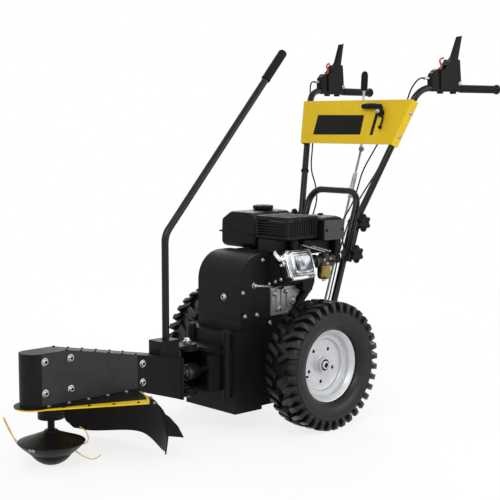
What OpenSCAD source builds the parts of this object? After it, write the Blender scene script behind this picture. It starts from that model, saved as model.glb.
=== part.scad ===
// Walk-behind string trimmer: a two-wheeled power carrier with a swinging trimmer head in front.
// Millimetres. +Z is up, -Y is the front of the machine, +X is the operator's left.
// Places are measured from the ground under the middle of the axle, and placed() then
// shifts them along Y so that the origin is under the middle of the whole machine.

/* [Wheels] */
// Outer radius of the tyres
tyre_r = 203; // [196:1:212]
// Width of a tyre's casing
tyre_w = 118; // [110:1:124]
// Distance between the middles of the two tyres
track = 480; // [470:1:500]
// Radius of the bead seat of the rims
bead_r = 101; // [96:1:106]
// Height of the rim flanges over the bead seat
rim_lip = 13; // [8:1:16]
// Width of the rims over their flanges
rim_w = 68; // [62:1:76]
// Thickness of the rim metal
rim_t = 3; // [2:0.5:4]
// Number of tread lugs in each of a tyre's two rows
lug_count = 18; // [12:1:24]
// Depth of the tread
lug_depth = 13; // [8:1:16]
// Width of the gap between two lugs
lug_gap = 22; // [14:1:28]
// Radius of the wheel hubs
hub_r = 23; // [19:1:28]
// Radius of the axle
axle_r = 12.5; // [10:0.5:15]
// Radius of the circle of holes in a wheel disc
disc_hole_pcd_r = 55; // [48:1:64]
// Radius of the holes in a wheel disc
disc_hole_r = 6; // [4:0.5:8]
// Number of holes in a wheel disc
disc_holes = 5; // [4:1:8]

/* [Chassis] */
// Half width of the front box
box_half_w = 118; // [112:1:124]
// Distance of the front of the box ahead of the axle
box_front = 257; // [250:1:264]
// Distance of the back of the box ahead of the axle
box_back = 145; // [138:1:149]
// Height of the underside of the box
box_bottom = 63; // [55:1:75]
// Height of the shoulder on top of the box
box_top = 312; // [306:1:318]
// Height of the engine deck
deck_z = 346; // [340:1:354]
// Half width of the deck and of the belt cover
deck_half_w = 100; // [97:1:104]
// Distance of the back edge of the deck behind the axle
deck_back = 150; // [140:1:156]
// Thickness of the chassis sheet
sheet_t = 3; // [2:0.5:4]

/* [Belt cover] */
// Distance of the cover's front ahead of the axle
cover_front = 220; // [216:1:226]
// Height of the top of the cover
cover_top = 550; // [540:1:556]
// Radius of the rounded front edge of the cover
cover_r = 90; // [70:1:100]
// Thickness of the cover sheet
cover_t = 2; // [1.5:0.5:3]

/* [Drive line] */
// Height of the crankshaft above the deck
crank_up = 106; // [100:1:112]
// Radius of the crankshaft
crank_r = 14; // [11:0.5:15]
// Height of the power take-off shaft
pto_z = 190; // [184:1:198]
// Radius of the power take-off shaft
pto_r = 10; // [8:0.5:12]
// Radius of the power take-off pulley
pto_pulley_r = 70; // [60:1:76]
// Radius of the wheel drive pulley
drive_pulley_r = 42; // [36:1:44]
// Radius of the engine pulley
crank_pulley_r = 38; // [32:1:42]
// Width of the belts
belt_w = 12; // [8:1:14]
// Thickness of the belts
belt_t = 8; // [5:0.5:9]
// Radius of the worm wheel on the axle
worm_wheel_r = 46; // [40:1:50]
// Radius of the worm
worm_r = 13.5; // [11:0.5:15]
// Radius of the worm shaft
worm_shaft_r = 9; // [7:0.5:10]
// Radius of the belt tension rollers
roller_r = 14; // [11:1:16]

/* [Handlebar] */
// Radius of the frame tubes
tube_r = 11; // [9:0.5:12.5]
// Height of the bends where the bars begin to spread
spread_z = 650; // [640:1:680]
// Distance of those bends behind the axle
spread_back = 281; // [275:1:290]
// Half distance between the bars where they bend back to the grips
bar_top_half = 249; // [240:1:258]
// Height of the grips
grip_z = 1069; // [1040:1:1090]
// Distance of the upper bends behind the axle
bar_top_back = 442; // [430:1:455]
// Distance of the grip ends behind the axle
grip_back = 812; // [790:1:830]
// Angle by which the grips turn outwards
grip_toe = 7; // [0:1:12]
// Radius of the bends in the bars
bar_bend_r = 66; // [50:1:80]
// Radius of the hand grips
grip_r = 13.5; // [13:0.5:15]
// Height of the rear loop
loop_z = 727; // [710:1:740]
// Radius of the loop's corners
loop_bend_r = 52; // [40:1:70]

/* [Console] */
// Distance of the panel's lower edge up the bars from the spread
panel_low = 243; // [225:1:260]
// Height of the panel along the bars
panel_h = 158; // [130:1:165]
// Thickness of the panel sheet
panel_t = 2; // [1.5:0.5:3]
// Depth of the panel's side flanges
flange_d = 33; // [30:1:40]

/* [Clutch levers] */
// Length of a clutch lever above its pivot
lever_len = 160; // [140:1:170]
// Thickness of a lever's handle
lever_w = 14; // [10:1:18]
// Radius of the lever pivots
pivot_r = 4; // [3:0.5:5]

/* [Trimmer arm] */
// Distance of the swing pivot ahead of the axle
swing_front = 350; // [346:1:356]
// Distance of the spindle ahead of the axle
spindle_front = 845; // [835:1:855]
// Half width of the trimmer housing
arm_half_w = 40; // [38:0.5:44]
// Height of the underside of the housing
house_low = 176; // [172:1:180]
// Height of the top of the housing
house_top = 327; // [322:1:334]
// Wall of the housing and of the arm
house_t = 3; // [2:0.5:3]
// Upward tilt of the trimmer's drive shaft
shaft_angle = 8; // [7:0.5:9]
// Radius of the trimmer's drive shaft
shaft_r = 9; // [7:0.5:10]
// Radius of the coupling ball
ball_r = 20; // [17:0.5:22]
// Radius of the swing pins
swing_pin_r = 8; // [6:0.5:10]
// Thickness of the swing lugs
lug_t = 10; // [8:0.5:11]
// Radius of the round ends of the swing lugs
lug_r = 30; // [24:1:34]

/* [Trimmer head] */
// Radius of the spindle
spindle_r = 10; // [8:0.5:11]
// Radius of the line head
head_r = 95; // [85:1:105]
// Height of the line head's rim
head_rim_z = 70; // [64:1:74]
// Height of the join between the head and the glide cup
cup_z = 36; // [32:1:40]
// Radius of the glide cup
cup_r = 60; // [54:1:64]
// Radius of the trimmer line
line_r = 1.5; // [1:0.25:2]
// Radius of the deflector at the base plate
guard_top_r = 276; // [264:1:284]
// Radius of the deflector at its lower edge
guard_low_r = 318; // [305:1:330]
// Height of the lower edge of the deflector
guard_low_z = 28; // [20:1:40]
// Thickness of the deflector
guard_t = 4; // [3:0.5:5]
// Thickness of the base plate
base_t = 4; // [3:0.5:5]

/* [Swing lever] */
// Distance of the lever's foot ahead of the axle
stick_front = 433; // [428:1:440]
// Height of the bend in the lever
stick_bend_z = 621; // [600:1:640]
// Height of the top of the lever
stick_top_z = 1180; // [1150:1:1200]
// Distance of the top of the lever behind the axle
stick_top_back = 58; // [40:1:70]
// Length of the lever's grip
stick_grip_len = 118; // [90:1:140]

/* [Engine] */
// Tilt of the cylinder above level
cyl_tilt = 20; // [18:1:22]
// Distance of the middle of the cylinder ahead of the axle
cyl_front = 40; // [36:1:44]
// Height of the top of the fuel tank
tank_top = 668; // [655:1:672]
// Radius of the fuel cap
cap_r = 34; // [28:1:36]
// Radius of the blower housing
blower_r = 98; // [95:1:103]

/* [Fits] */
// Gap between separate pieces
gap = 0.3; // [0.2:0.05:0.4]
// Radial clearance of running fits
run_fit = 0.05; // [0.03:0.01:0.08]

/* [Hidden] */
$fn = 48;
// Overrun of cuts past the faces that they break
over = 5;
nose_ahead = 54;
nose_y = -(spindle_front + nose_ahead);
nose_flange = 16;
grip_end_r = 19;
front_y = nose_y - arm_half_w - nose_flange;
rear_y = grip_back + grip_end_r * sin(grip_toe);
// Distance that the whole machine is shifted back, so that it is centred along Y
axle_y = -(front_y + rear_y) / 2;
axle_z = tyre_r;
crank_z = deck_z + crank_up;
black = "#1b1b1b";
soft_black = "#262626";
steel = "#b9bcbf";
yellow = "#d8b21a";
red = "#c8372d";

// Moves a piece from the axle's frame to the frame of the whole machine
module placed() {
  translate([0, axle_y, 0])
    children();
}

function unit(v) = v / norm(v);
function square_to(v) = unit(cross(v, abs(v[2]) < norm(v) * upright_share ? [0, 0, 1] : [1, 0, 0]));
upright_share = 0.9;

// Puts children in a frame given by its origin and its three unit axes
module in_frame(p, x, y, z) {
  multmatrix([[x[0], y[0], z[0], p[0]], [x[1], y[1], z[1], p[1]], [x[2], y[2], z[2], p[2]], [0, 0, 0, 1]])
    children();
}

// A round bar between two points
module bar(a, b, r) {
  w = unit(b - a);
  u = square_to(w);
  in_frame(a, u, cross(w, u), w)
    cylinder(h = norm(b - a), r = r);
}

function corner_trim(p, i, bend) =
  bend * tan(acos(unit(p[i] - p[i - 1]) * unit(p[i + 1] - p[i])) / 2);

// A round bar along a path, with its corners bent to a radius. The bends are a hair
// thicker than the straight stretches, which run into them.
bend_swell = 0.3;
bend_lap = 1;
module bent_bar(path, bend, r) {
  last = len(path) - 1;
  for (i = [0 : last - 1]) {
    along = unit(path[i + 1] - path[i]);
    from = i == 0 ? path[i] : path[i] + along * (corner_trim(path, i, bend) - bend_lap);
    to = i == last - 1 ? path[i + 1] : path[i + 1] - along * (corner_trim(path, i + 1, bend) - bend_lap);
    bar(from, to, r);
  }
  for (i = [1 : last - 1]) {
    a = unit(path[i] - path[i - 1]);
    b = unit(path[i + 1] - path[i]);
    inward = unit(b - a * (a * b));
    centre = path[i] - a * corner_trim(path, i, bend) + inward * bend;
    in_frame(centre, -inward, a, cross(-inward, a))
      rotate_extrude(angle = acos(a * b))
        translate([bend, 0])
          circle(r = r + bend_swell);
  }
}

// A box between two corners
module slab(a, b) {
  translate(a)
    cube(b - a);
}

// A cylinder along X, Y or Z between two places on that axis
module round_x(x0, x1, r) {
  translate([x0, 0, 0])
    rotate([0, 90, 0])
      cylinder(h = x1 - x0, r = r);
}

module round_y(y0, y1, r) {
  translate([0, y0, 0])
    rotate([-90, 0, 0])
      cylinder(h = y1 - y0, r = r);
}

module round_z(z0, z1, r) {
  translate([0, 0, z0])
    cylinder(h = z1 - z0, r = r);
}

// An outline in Y and Z, extruded along X
module across(x0, x1, points) {
  translate([x0, 0, 0])
    rotate([90, 0, 90])
      linear_extrude(x1 - x0)
        polygon(points);
}

// An outline in X and Z, extruded along Y
module lengthwise(y0, y1, points) {
  translate([0, y1, 0])
    rotate([90, 0, 0])
      linear_extrude(y1 - y0)
        polygon(points);
}

// An outline in X and Y, extruded upwards
module upward(z0, z1, points) {
  translate([0, 0, z0])
    linear_extrude(z1 - z0)
      polygon(points);
}

// A profile of radius and height, turned about Z
module turned(points) {
  rotate_extrude()
    polygon(points);
}

module mirrored(side) {
  mirror([side < 0 ? 1 : 0, 0, 0])
    children();
}

module both_sides() {
  for (side = [-1, 1])
    mirrored(side)
      children();
}

function arc(centre, r, from, to, steps) =
  [for (i = [0 : steps])
    let (angle = from + (to - from) * i / steps)
      centre + r * [cos(angle), sin(angle)]];
function scaled(shares, size) = [for (s = shares) [s[0] * size[0], s[1] * size[1]]];

// Wheels
wheel_x = track / 2;
lug_skew = 24;
lug_reach_share = 0.4;
tyre_wall = 9;
bead_half = rim_w / 2 - rim_t - gap;
hub_in = 45;
hub_out = 10;
disc_back = 7;
shelf_out = 12;
well_step = 19;
axle_proud = 6;
axle_end = wheel_x + hub_out + axle_proud;
nut_r = 17;
nut_wall = 4;
washer_t = 3;
sidewall_shares = [[0.06, 0.75], [0.2, 0.92], [0.4, 1], [0.66, 0.97], [0.84, 0.9], [1, 0.8]];

module tyre() {
  half = tyre_w / 2;
  lip = bead_r + rim_lip + gap;
  height = tyre_r - lip;
  side = concat([[lip, bead_half]], [for (s = sidewall_shares) [lip + height * s[0], half * s[1]]]);
  top = [for (p = reversed(side)) [p[0], -p[1]]];
  pitch = 360 / lug_count;
  room = [for (p = side) [min(p[0], tyre_r - lug_depth - tyre_wall), p[1] - tyre_wall]];
  room_back = [for (p = reversed(room)) [p[0], -p[1]]];
  color(soft_black)
    difference() {
      rotate([0, 90, 0])
        difference() {
          turned(concat([[bead_r + gap, -bead_half], [bead_r + gap, bead_half]], side, top));
          turned(concat([[bead_r, tyre_wall - bead_half], [bead_r, bead_half - tyre_wall]], room,
            room_back));
        }
      for (row = [-1, 1], i = [0 : lug_count - 1])
        rotate([(i + 1 / 2 + row / 4) * pitch, 0, 0])
          translate([row * half * (1 - lug_reach_share), 0, -tyre_r])
            rotate([0, 0, row * lug_skew])
              cube([half, lug_gap, 2 * lug_depth], center = true);
    }
}

module rim() {
  half = rim_w / 2;
  well_r = bead_r - well_step;
  seat_r = bead_r - rim_t / 2;
  color(steel)
    difference() {
      rotate([0, 90, 0])
        union() {
          turned([[bead_r - rim_t, -half], [bead_r + rim_lip, -half], [bead_r + rim_lip, rim_t - half],
            [bead_r, rim_t - half], [bead_r, half - rim_t], [bead_r + rim_lip, half - rim_t],
            [bead_r + rim_lip, half], [bead_r - rim_t, half]]);
          turned([[hub_r - rim_t, -disc_back - rim_t], [well_r + rim_t, -disc_back - rim_t],
            [well_r + rim_t, shelf_out - rim_t], [seat_r, shelf_out - rim_t], [seat_r, shelf_out],
            [well_r, shelf_out], [well_r, -disc_back], [hub_r - rim_t, -disc_back]]);
          turned([[axle_r + run_fit, -hub_in], [hub_r, -hub_in], [hub_r, hub_out],
            [axle_r + run_fit, hub_out]]);
        }
      for (i = [0 : disc_holes - 1])
        rotate([i * 360 / disc_holes - 90, 0, 0])
          translate([0, disc_hole_pcd_r, 0])
            round_x(-half, half, disc_hole_r);
    }
}

module at_wheel(side) {
  mirrored(side)
    translate([wheel_x, 0, axle_z])
      children();
}

module axle_shaft() {
  color(steel)
    translate([0, 0, axle_z]) {
      round_x(-axle_end, axle_end, axle_r);
      round_x(-worm_half, worm_half, worm_wheel_r);
    }
}
worm_half = 14;

module axle_nuts() {
  color(steel)
    both_sides()
      translate([0, 0, axle_z])
        difference() {
          union() {
            round_x(wheel_x + hub_out, wheel_x + hub_out + washer_t, hub_r);
            translate([wheel_x + hub_out + washer_t, 0, 0])
              rotate([0, 90, 0])
                cylinder(h = axle_end + nut_wall - wheel_x - hub_out - washer_t, r = nut_r, $fn = 6);
          }
          round_x(wheel_x, axle_end + gap, axle_r + run_fit);
        }
}

// Chassis
box_y0 = -box_front;
box_y1 = -box_back;
skirt_tail = 40;
skirt_back = deck_back + skirt_tail;
skirt_up = 5;
skirt_len = 90;
belt_gap_in = 12;
belt_gap_half = deck_half_w - belt_gap_in;
boss_r = 24;
boss_len = 17;
rear_boss_len = 8;
rear_boss_r = 18;
worm_gap = 0.5;
worm_z = axle_z + worm_wheel_r + worm_r + worm_gap;
lug_root_half = 70;
lug_top_z = 271;
lug_low_z = 134;
post_t = 8;
post_len = 65;
post_top = 248;
tension_pin_r = 5;

module swing_lug(z0) {
  translate([0, -swing_front, 0])
    round_z(z0, z0 + lug_t, lug_r);
  slab([-lug_r, -swing_front, z0], [lug_r, box_y0, z0 + lug_t]);
  slab([-lug_root_half, box_y0 - post_len, z0], [lug_root_half, box_y0, z0 + lug_t]);
}

module chassis_frame() {
  color(black)
    difference() {
      union() {
        difference() {
          slab([-box_half_w, box_y0, box_bottom], [box_half_w, box_y1, box_top]);
          slab([sheet_t - box_half_w, box_y0 + sheet_t, box_bottom + sheet_t],
            [box_half_w - sheet_t, box_y1 - sheet_t, box_top - sheet_t]);
          slab([-belt_gap_half, sheet_t - cover_front, box_top - 2 * sheet_t],
            [belt_gap_half, box_y1 - sheet_t, box_top + over]);
        }
        both_sides()
          slab([deck_half_w - sheet_t, -cover_front, box_top], [deck_half_w, box_y1, deck_z]);
        slab([-deck_half_w, -cover_front, box_top], [deck_half_w, sheet_t - cover_front, deck_z]);
        slab([-deck_half_w, box_y1 - sheet_t, deck_z - sheet_t], [deck_half_w, deck_back, deck_z]);
        slab([-deck_half_w, box_y1 - sheet_t, box_top - sheet_t], [deck_half_w, box_y1, deck_z]);
        both_sides()
          slab([deck_half_w - sheet_t, box_y1 - sheet_t, box_top], [deck_half_w, skirt_back, deck_z]);
        both_sides()
          slab([deck_half_w - sheet_t, box_y1 - sheet_t, box_bottom + skirt_up],
            [deck_half_w, box_y1 + skirt_len, deck_z - sheet_t / 2]);
        translate([0, 0, pto_z]) {
          round_y(box_y0, box_y0 + boss_len, boss_r);
          round_y(box_y1 - sheet_t - rear_boss_len, box_y1, rear_boss_r);
        }
        swing_lug(lug_top_z - lug_t);
        swing_lug(lug_low_z);
        both_sides()
          slab([lug_root_half - post_t, box_y0 - post_len, lug_low_z], [lug_root_half, box_y0, post_top]);
        for (p = tension_pivots)
          translate([p[0], 0, p[2]])
            round_y(p[1] - tension_pin_out, box_y1 - sheet_t / 2, tension_pin_r);
      }
      translate([0, 0, pto_z])
        round_y(box_y0 - over, box_y1 + over, pto_r + run_fit);
      translate([0, 0, worm_z])
        round_y(box_y1 - sheet_t - over, box_y1 + over, worm_shaft_r + sheet_t);
      for (z0 = [lug_top_z - lug_t, lug_low_z])
        translate([0, -swing_front, 0])
          round_z(z0 - over, z0 + lug_t + over, swing_pin_r + run_fit);
    }
}

// Wheel gearbox
case_half_w = 62;
case_y0 = -82;
case_y1 = 86;
case_drop = 74;
case_low = axle_z - case_drop;
case_chamfer = 26;
selector_back = 243;
selector_z = 300;
eye_behind = 156;
eye_up = 214;
eye_back = spread_back + eye_behind;
eye_z = spread_z + eye_up;
selector_foot = [0, selector_back, selector_z];
selector_eye = [0, eye_back, eye_z];
selector_axis = unit(selector_eye - selector_foot);
selector_r = 4;
bush_r = 11;
bush_half = 18;
arm_half = 12;
arm_h = 24;
wheel_room = 5;

module gearbox_case() {
  color(soft_black)
    difference() {
      union() {
        across(-case_half_w, case_half_w,
          [[case_y0, case_low + case_chamfer], [case_y0 + case_chamfer, case_low],
          [case_y1 - case_chamfer, case_low], [case_y1, case_low + case_chamfer],
            [case_y1, deck_z - sheet_t],
          [case_y0, deck_z - sheet_t]]);
        slab([-arm_half, case_y1 - over, selector_foot[2] - arm_h / 2],
          [arm_half, selector_foot[1], selector_foot[2] + arm_h / 2]);
        bar(selector_foot - selector_axis * bush_half, selector_foot + selector_axis * bush_half, bush_r);
      }
      translate([0, 0, axle_z]) {
        round_x(-case_half_w - over, case_half_w + over, axle_r + run_fit);
        round_x(-worm_half - wheel_room, worm_half + wheel_room, worm_wheel_r + wheel_room);
      }
      translate([0, 0, worm_z]) {
        round_y(case_y0 - over, case_y1 - case_chamfer, worm_shaft_r + run_fit);
        round_y(case_y0 + case_chamfer, case_y1 - 2 * case_chamfer, worm_r + wheel_room);
      }
      bar(selector_foot - selector_axis * (bush_half + over),
        selector_foot + selector_axis * (bush_half + over),
        selector_r + run_fit);
    }
}

// Belt drive inside the front box and the cover
pto_belt_y = -195;
drive_belt_y = -168;
flange_t = 4;
groove_over = 1;
pulley_lip = 9;
arc_steps = 30;

// A pulley about Y whose groove is centred on y0
module pulley(y0, r) {
  half = belt_w / 2 + groove_over;
  round_y(y0 - half - flange_t, y0 - half, r + pulley_lip);
  round_y(y0 - half, y0 + half, r);
  round_y(y0 + half, y0 + half + flange_t, r + pulley_lip);
}

// The outline of a belt's inner or outer face around two pulleys on one vertical line
function belt_outline(z0, r0, z1, r1) =
  let (lean = asin((r0 - r1) / (z1 - z0)))
    concat(arc([0, z1], r1, lean, 180 - lean, arc_steps),
      arc([0, z0], r0, 180 - lean, 360 + lean, arc_steps));

module belt(y0, z0, r0, z1, r1) {
  difference() {
    lengthwise(y0 - belt_w / 2, y0 + belt_w / 2,
      belt_outline(z0, r0 + gap + belt_t, z1, r1 + gap + belt_t));
    lengthwise(y0 - belt_w, y0 + belt_w, belt_outline(z0, r0 + gap, z1, r1 + gap));
  }
}

small_step = 6;
crank_small_r = crank_pulley_r - small_step;

module pto_belt() {
  color(black)
    belt(pto_belt_y, pto_z, pto_pulley_r, crank_z, crank_pulley_r);
}

module drive_belt() {
  color(black)
    belt(drive_belt_y, worm_z, drive_pulley_r, crank_z, crank_small_r);
}

// Each tension roller hangs on an arm beside the slack run of its belt
tension_gap = 4.5;
tension_arm_t = 5;
tension_arm_half = 8;
arm_inset = 1;
tension_pin_out = 12;
roller_half = 7;
roller_axle_r = 6;
pto_roller_z = 262;
drive_roller_z = 285;
tension_pivot_x = 100;
pto_pivot_z = 130;
drive_pivot_z = 205;
tension_pivots = [[tension_pivot_x, pto_belt_y, pto_pivot_z],
  [-tension_pivot_x, drive_belt_y, drive_pivot_z]];

function run_half(z, z0, r0, z1, r1) =
  let (lean = asin((r0 - r1) / (z1 - z0)))
    (r0 + gap + belt_t) / cos(lean) - (z - z0) * tan(lean);
pto_roller_x = run_half(pto_roller_z, pto_z, pto_pulley_r, crank_z,
  crank_pulley_r) + tension_gap + roller_r;
drive_roller_x = -run_half(drive_roller_z, worm_z, drive_pulley_r, crank_z,
  crank_small_r) - tension_gap - roller_r;

module tensioner(pivot, roller_x, roller_z) {
  root = [pivot[0], pivot[1] + roller_half, pivot[2]];
  tip = [roller_x, pivot[1] + roller_half, roller_z];
  span = tip - root;
  difference() {
    union() {
      translate([root[0], 0, root[2]])
        round_y(root[1], root[1] + tension_arm_t, tension_pin_r + tension_arm_t);
      in_frame(root, unit(span), cross([0, 1, 0], unit(span)), [0, 1, 0])
        slab([tension_pin_r - arm_inset, -tension_arm_half, arm_inset],
          [norm(span) + roller_axle_r + arm_inset, tension_arm_half, tension_arm_t - arm_inset]);
      translate([roller_x, 0, roller_z]) {
        round_y(pivot[1] - roller_half, pivot[1] + roller_half, roller_r);
        round_y(pivot[1], root[1] + tension_arm_t / 2, roller_axle_r);
      }
    }
    translate([root[0], 0, root[2]])
      round_y(root[1] - over, root[1] + tension_arm_t + over, tension_pin_r + run_fit);
  }
}

module pto_tensioner() {
  color(steel)
    tensioner(tension_pivots[0], pto_roller_x, pto_roller_z);
}

module drive_tensioner() {
  color(steel)
    tensioner(tension_pivots[1], drive_roller_x, drive_roller_z);
}

// The power take-off ends in a cup that drives the trimmer's ball coupling at the swing axis
cup_wall = 6;
cup_mouth = 8;
cup_deep = 24;
cup_back = 8;
pto_tail = 8;
pto_end = box_y1 + pto_tail;

module pto_shaft() {
  color(steel)
    translate([0, 0, pto_z]) {
      round_y(-swing_front + cup_deep, pto_end, pto_r);
      pulley(pto_belt_y, pto_pulley_r);
      difference() {
        round_y(-swing_front - cup_mouth, -swing_front + cup_deep + cup_back, ball_r + cup_wall);
        round_y(-swing_front - cup_mouth - over, -swing_front + cup_deep, ball_r + gap);
      }
    }
}

module worm_shaft() {
  worm_front = case_y0 + case_chamfer + wheel_room;
  worm_rear = case_y1 - 2 * case_chamfer - wheel_room;
  thread_pitch = 2 * belt_t;
  color(steel)
    translate([0, 0, worm_z]) {
      round_y(drive_belt_y - belt_w, case_y1 - case_chamfer - gap, worm_shaft_r);
      pulley(drive_belt_y, drive_pulley_r);
      for (y0 = [worm_front : thread_pitch : worm_rear - belt_t])
        round_y(y0, y0 + belt_t, worm_r);
    }
}

// Belt cover: a bent front sheet, a back plate against the engine and two side plates
cover_rear = -84;
back_plate_y = -124;
plate_t = 2.5;
plate_x = deck_half_w - sheet_t;
plate_rear = -92;
hole_room = 6;
shaft_hole_r = crank_r + hole_room;
cover_steps = 10;

function cover_line(inset, rear) =
  let (c = [cover_r - cover_front, cover_top - cover_r])
    concat([[inset - cover_front, deck_z]], arc(c, cover_r - inset, 180, 90, cover_steps),
      [[rear, cover_top - inset]]);
function reversed(points) = [for (i = [1 : len(points)]) points[len(points) - i]];

module belt_cover() {
  color(black)
    difference() {
      union() {
        across(-deck_half_w, deck_half_w,
          concat(cover_line(0, cover_rear), reversed(cover_line(cover_t, cover_rear))));
        slab([gap - plate_x, back_plate_y, deck_z],
          [plate_x - gap, back_plate_y + sheet_t, cover_top - cover_t / 2]);
      }
      translate([0, 0, crank_z])
        round_y(back_plate_y - over, back_plate_y + over, shaft_hole_r);
    }
}

module cover_plates() {
  color(soft_black)
    both_sides()
      across(plate_x, plate_x + plate_t,
        concat(cover_line(cover_t + gap, plate_rear), [[plate_rear, deck_z]]));
}

// Engine
block_y0 = back_plate_y + sheet_t + gap;
block_y1 = 28;
block_side_gap = 2;
block_half = plate_x - block_side_gap;
foot_h = 12;
block_in = 9;
face_u = 84;
face_low = 45;
face_high = 50;
block_up = 78;
block_top = crank_z + block_up;
web_r = 48;
web_t = 18;
web_gap = 26;
web_room = 8;
cyl_y = -cyl_front;
core_half = 42;
fin_t = 3.5;
fin_pitch = 10.5;
fin_count = 7;
fin_half_y = 52;
fin_half_w = 48;
head_u = 160;
head_len = 26;
head_half_y = 54;
head_half_w = 47;
cover_len = 22;
cover_edge = 14;
crest_len = 9;
crest_share = 0.62;

// Children are drawn with X along the cylinder, from the crankshaft outwards
module along_cylinder() {
  translate([0, cyl_y, crank_z])
    rotate([0, -cyl_tilt, 0])
      children();
}
function on_cylinder(u, w) = [u * cos(cyl_tilt) - w * sin(cyl_tilt),
  crank_z + u * sin(cyl_tilt) + w * cos(cyl_tilt)];

module crankcase() {
  color("#9a9c9e")
    difference() {
      lengthwise(block_y0, block_y1, [[-block_half, deck_z], [block_half, deck_z],
        [block_half, deck_z + foot_h],
        on_cylinder(face_u, -face_low), on_cylinder(face_u, face_high), [-face_low, block_top],
        [block_in - block_half, crank_z + foot_h], [block_in - block_half, deck_z + foot_h],
        [-block_half, deck_z + foot_h]]);
      translate([0, 0, crank_z]) {
        round_y(block_y0 - over, block_y1 + over, crank_r + run_fit);
        round_y(cyl_y - web_gap / 2 - web_t - web_room, cyl_y + web_gap / 2 + web_t + web_room,
          web_r + web_room);
      }
    }
}

module cylinder_head() {
  color(black)
    along_cylinder() {
      slab([face_u, -core_half, -core_half], [head_u, core_half, core_half]);
      for (i = [1 : fin_count])
        slab([face_u + i * fin_pitch - fin_t, -fin_half_y, -fin_half_w],
          [face_u + i * fin_pitch, fin_half_y, fin_half_w]);
      slab([head_u, -head_half_y, -head_half_w], [head_u + head_len, head_half_y, head_half_w]);
    }
}

function octagon(half_y, half_w, edge) = [[-half_y, edge - half_w], [edge - half_y, -half_w],
  [half_y - edge, -half_w],
  [half_y, edge - half_w], [half_y, half_w - edge], [half_y - edge, half_w], [edge - half_y, half_w],
    [-half_y, half_w - edge]];

module valve_cover() {
  color("#d7dade")
    along_cylinder()
      translate([head_u + head_len, 0, 0]) {
        across(0, rim_t, octagon(head_half_y, head_half_w, cover_edge));
        across(rim_t, cover_len, octagon(head_half_y - rim_t, head_half_w - rim_t, cover_edge));
        across(cover_len, cover_len + crest_len,
          octagon(head_half_y * crest_share, head_half_w * crest_share, cover_edge));
      }
}

tank_x0 = -160;
tank_x1 = 5;
tank_y0 = -70;
tank_y1 = 122;
tank_gap = 1.5;
tank_low = crank_z + blower_r + tank_gap;
tank_edge_w = 44;
tank_edge_h = 22;
tank_foot_w = 36;
tank_foot_h = 9;
leg_w = 26;
leg_t = 12;
cap_x = -72;
cap_y = 38;
cap_place = [cap_x, cap_y];
neck_r = 24;
cap_base_h = 4;
cap_h = 14;

module fuel_tank() {
  color(black)
    difference() {
      union() {
        lengthwise(tank_y0, tank_y1, [[tank_x0, tank_low + tank_foot_h], [tank_x0 + tank_foot_w, tank_low],
          [tank_x1, tank_low],
          [tank_x1, tank_top], [tank_x0 + tank_edge_w, tank_top], [tank_x0, tank_top - tank_edge_h]]);
        for (y0 = [block_y0 + leg_w + leg_w, block_y1 - leg_w])
          slab([-face_low, y0, block_top], [leg_w - face_low, y0 + leg_t, tank_low + over]);
        translate([cap_place[0], cap_place[1], 0])
          round_z(tank_top - over, tank_top + cap_base_h, neck_r);
      }
      lengthwise(tank_y0 + sheet_t, tank_y1 - sheet_t, [[tank_x0 + sheet_t, tank_low + tank_foot_h],
        [tank_x0 + tank_foot_w + sheet_t, tank_low + sheet_t], [tank_x1 - sheet_t, tank_low + sheet_t],
        [tank_x1 - sheet_t, tank_top - sheet_t], [tank_x0 + tank_edge_w, tank_top - sheet_t],
        [tank_x0 + sheet_t, tank_top - tank_edge_h - sheet_t]]);
      translate([cap_place[0], cap_place[1], 0])
        round_z(tank_top - over, tank_top + over, neck_r - sheet_t);
    }
}

cap_notches = 18;
cap_notch_r = 2.5;

module fuel_cap() {
  color(black)
    translate([cap_place[0], cap_place[1], tank_top + gap])
      difference() {
        round_z(0, cap_h + cap_base_h, cap_r);
        round_z(-over, cap_base_h, neck_r + gap);
        for (i = [0 : cap_notches - 1])
          rotate([0, 0, i * 360 / cap_notches])
            translate([cap_r + cap_notch_r / 2, 0, 0])
              round_z(-over, cap_h + 2 * over, cap_notch_r);
      }
}

// Muffler on the head, with a louvred guard around it
muf_x0 = 30;
muf_x1 = 140;
muf_y0 = -60;
muf_y1 = 44;
muf_z0 = 600;
muf_z1 = 645;
pipe_u = 172;
pipe_y = 16;
pipe_r = 14;
guard_x0 = 14;
guard_x1 = 160;
guard_y0 = -76;
guard_y1 = 58;
guard_z0 = 592;
guard_z1 = 662;
guard_wall = 2;
stud_r = 6;
louvre_count = 6;
louvre_h = 5;
slat_count = 11;
slat_w = 5;
slat_margin = 9;

module muffler() {
  top = [on_cylinder(pipe_u, head_half_w)[0], cyl_y + pipe_y, on_cylinder(pipe_u, head_half_w)[1]];
  reach = (muf_z0 + over - top[2]) / cos(cyl_tilt);
  color("#6d6f71") {
    slab([muf_x0, muf_y0, muf_z0], [muf_x1, muf_y1, muf_z1]);
    bar(top, top + reach * [-sin(cyl_tilt), 0, cos(cyl_tilt)], pipe_r);
    for (x = [muf_x0 + 2 * stud_r, muf_x1 - 2 * stud_r])
      translate([x, (muf_y0 + muf_y1) / 2, 0])
        round_z(muf_z1 - over, guard_z1 - guard_wall, stud_r);
  }
}

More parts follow.
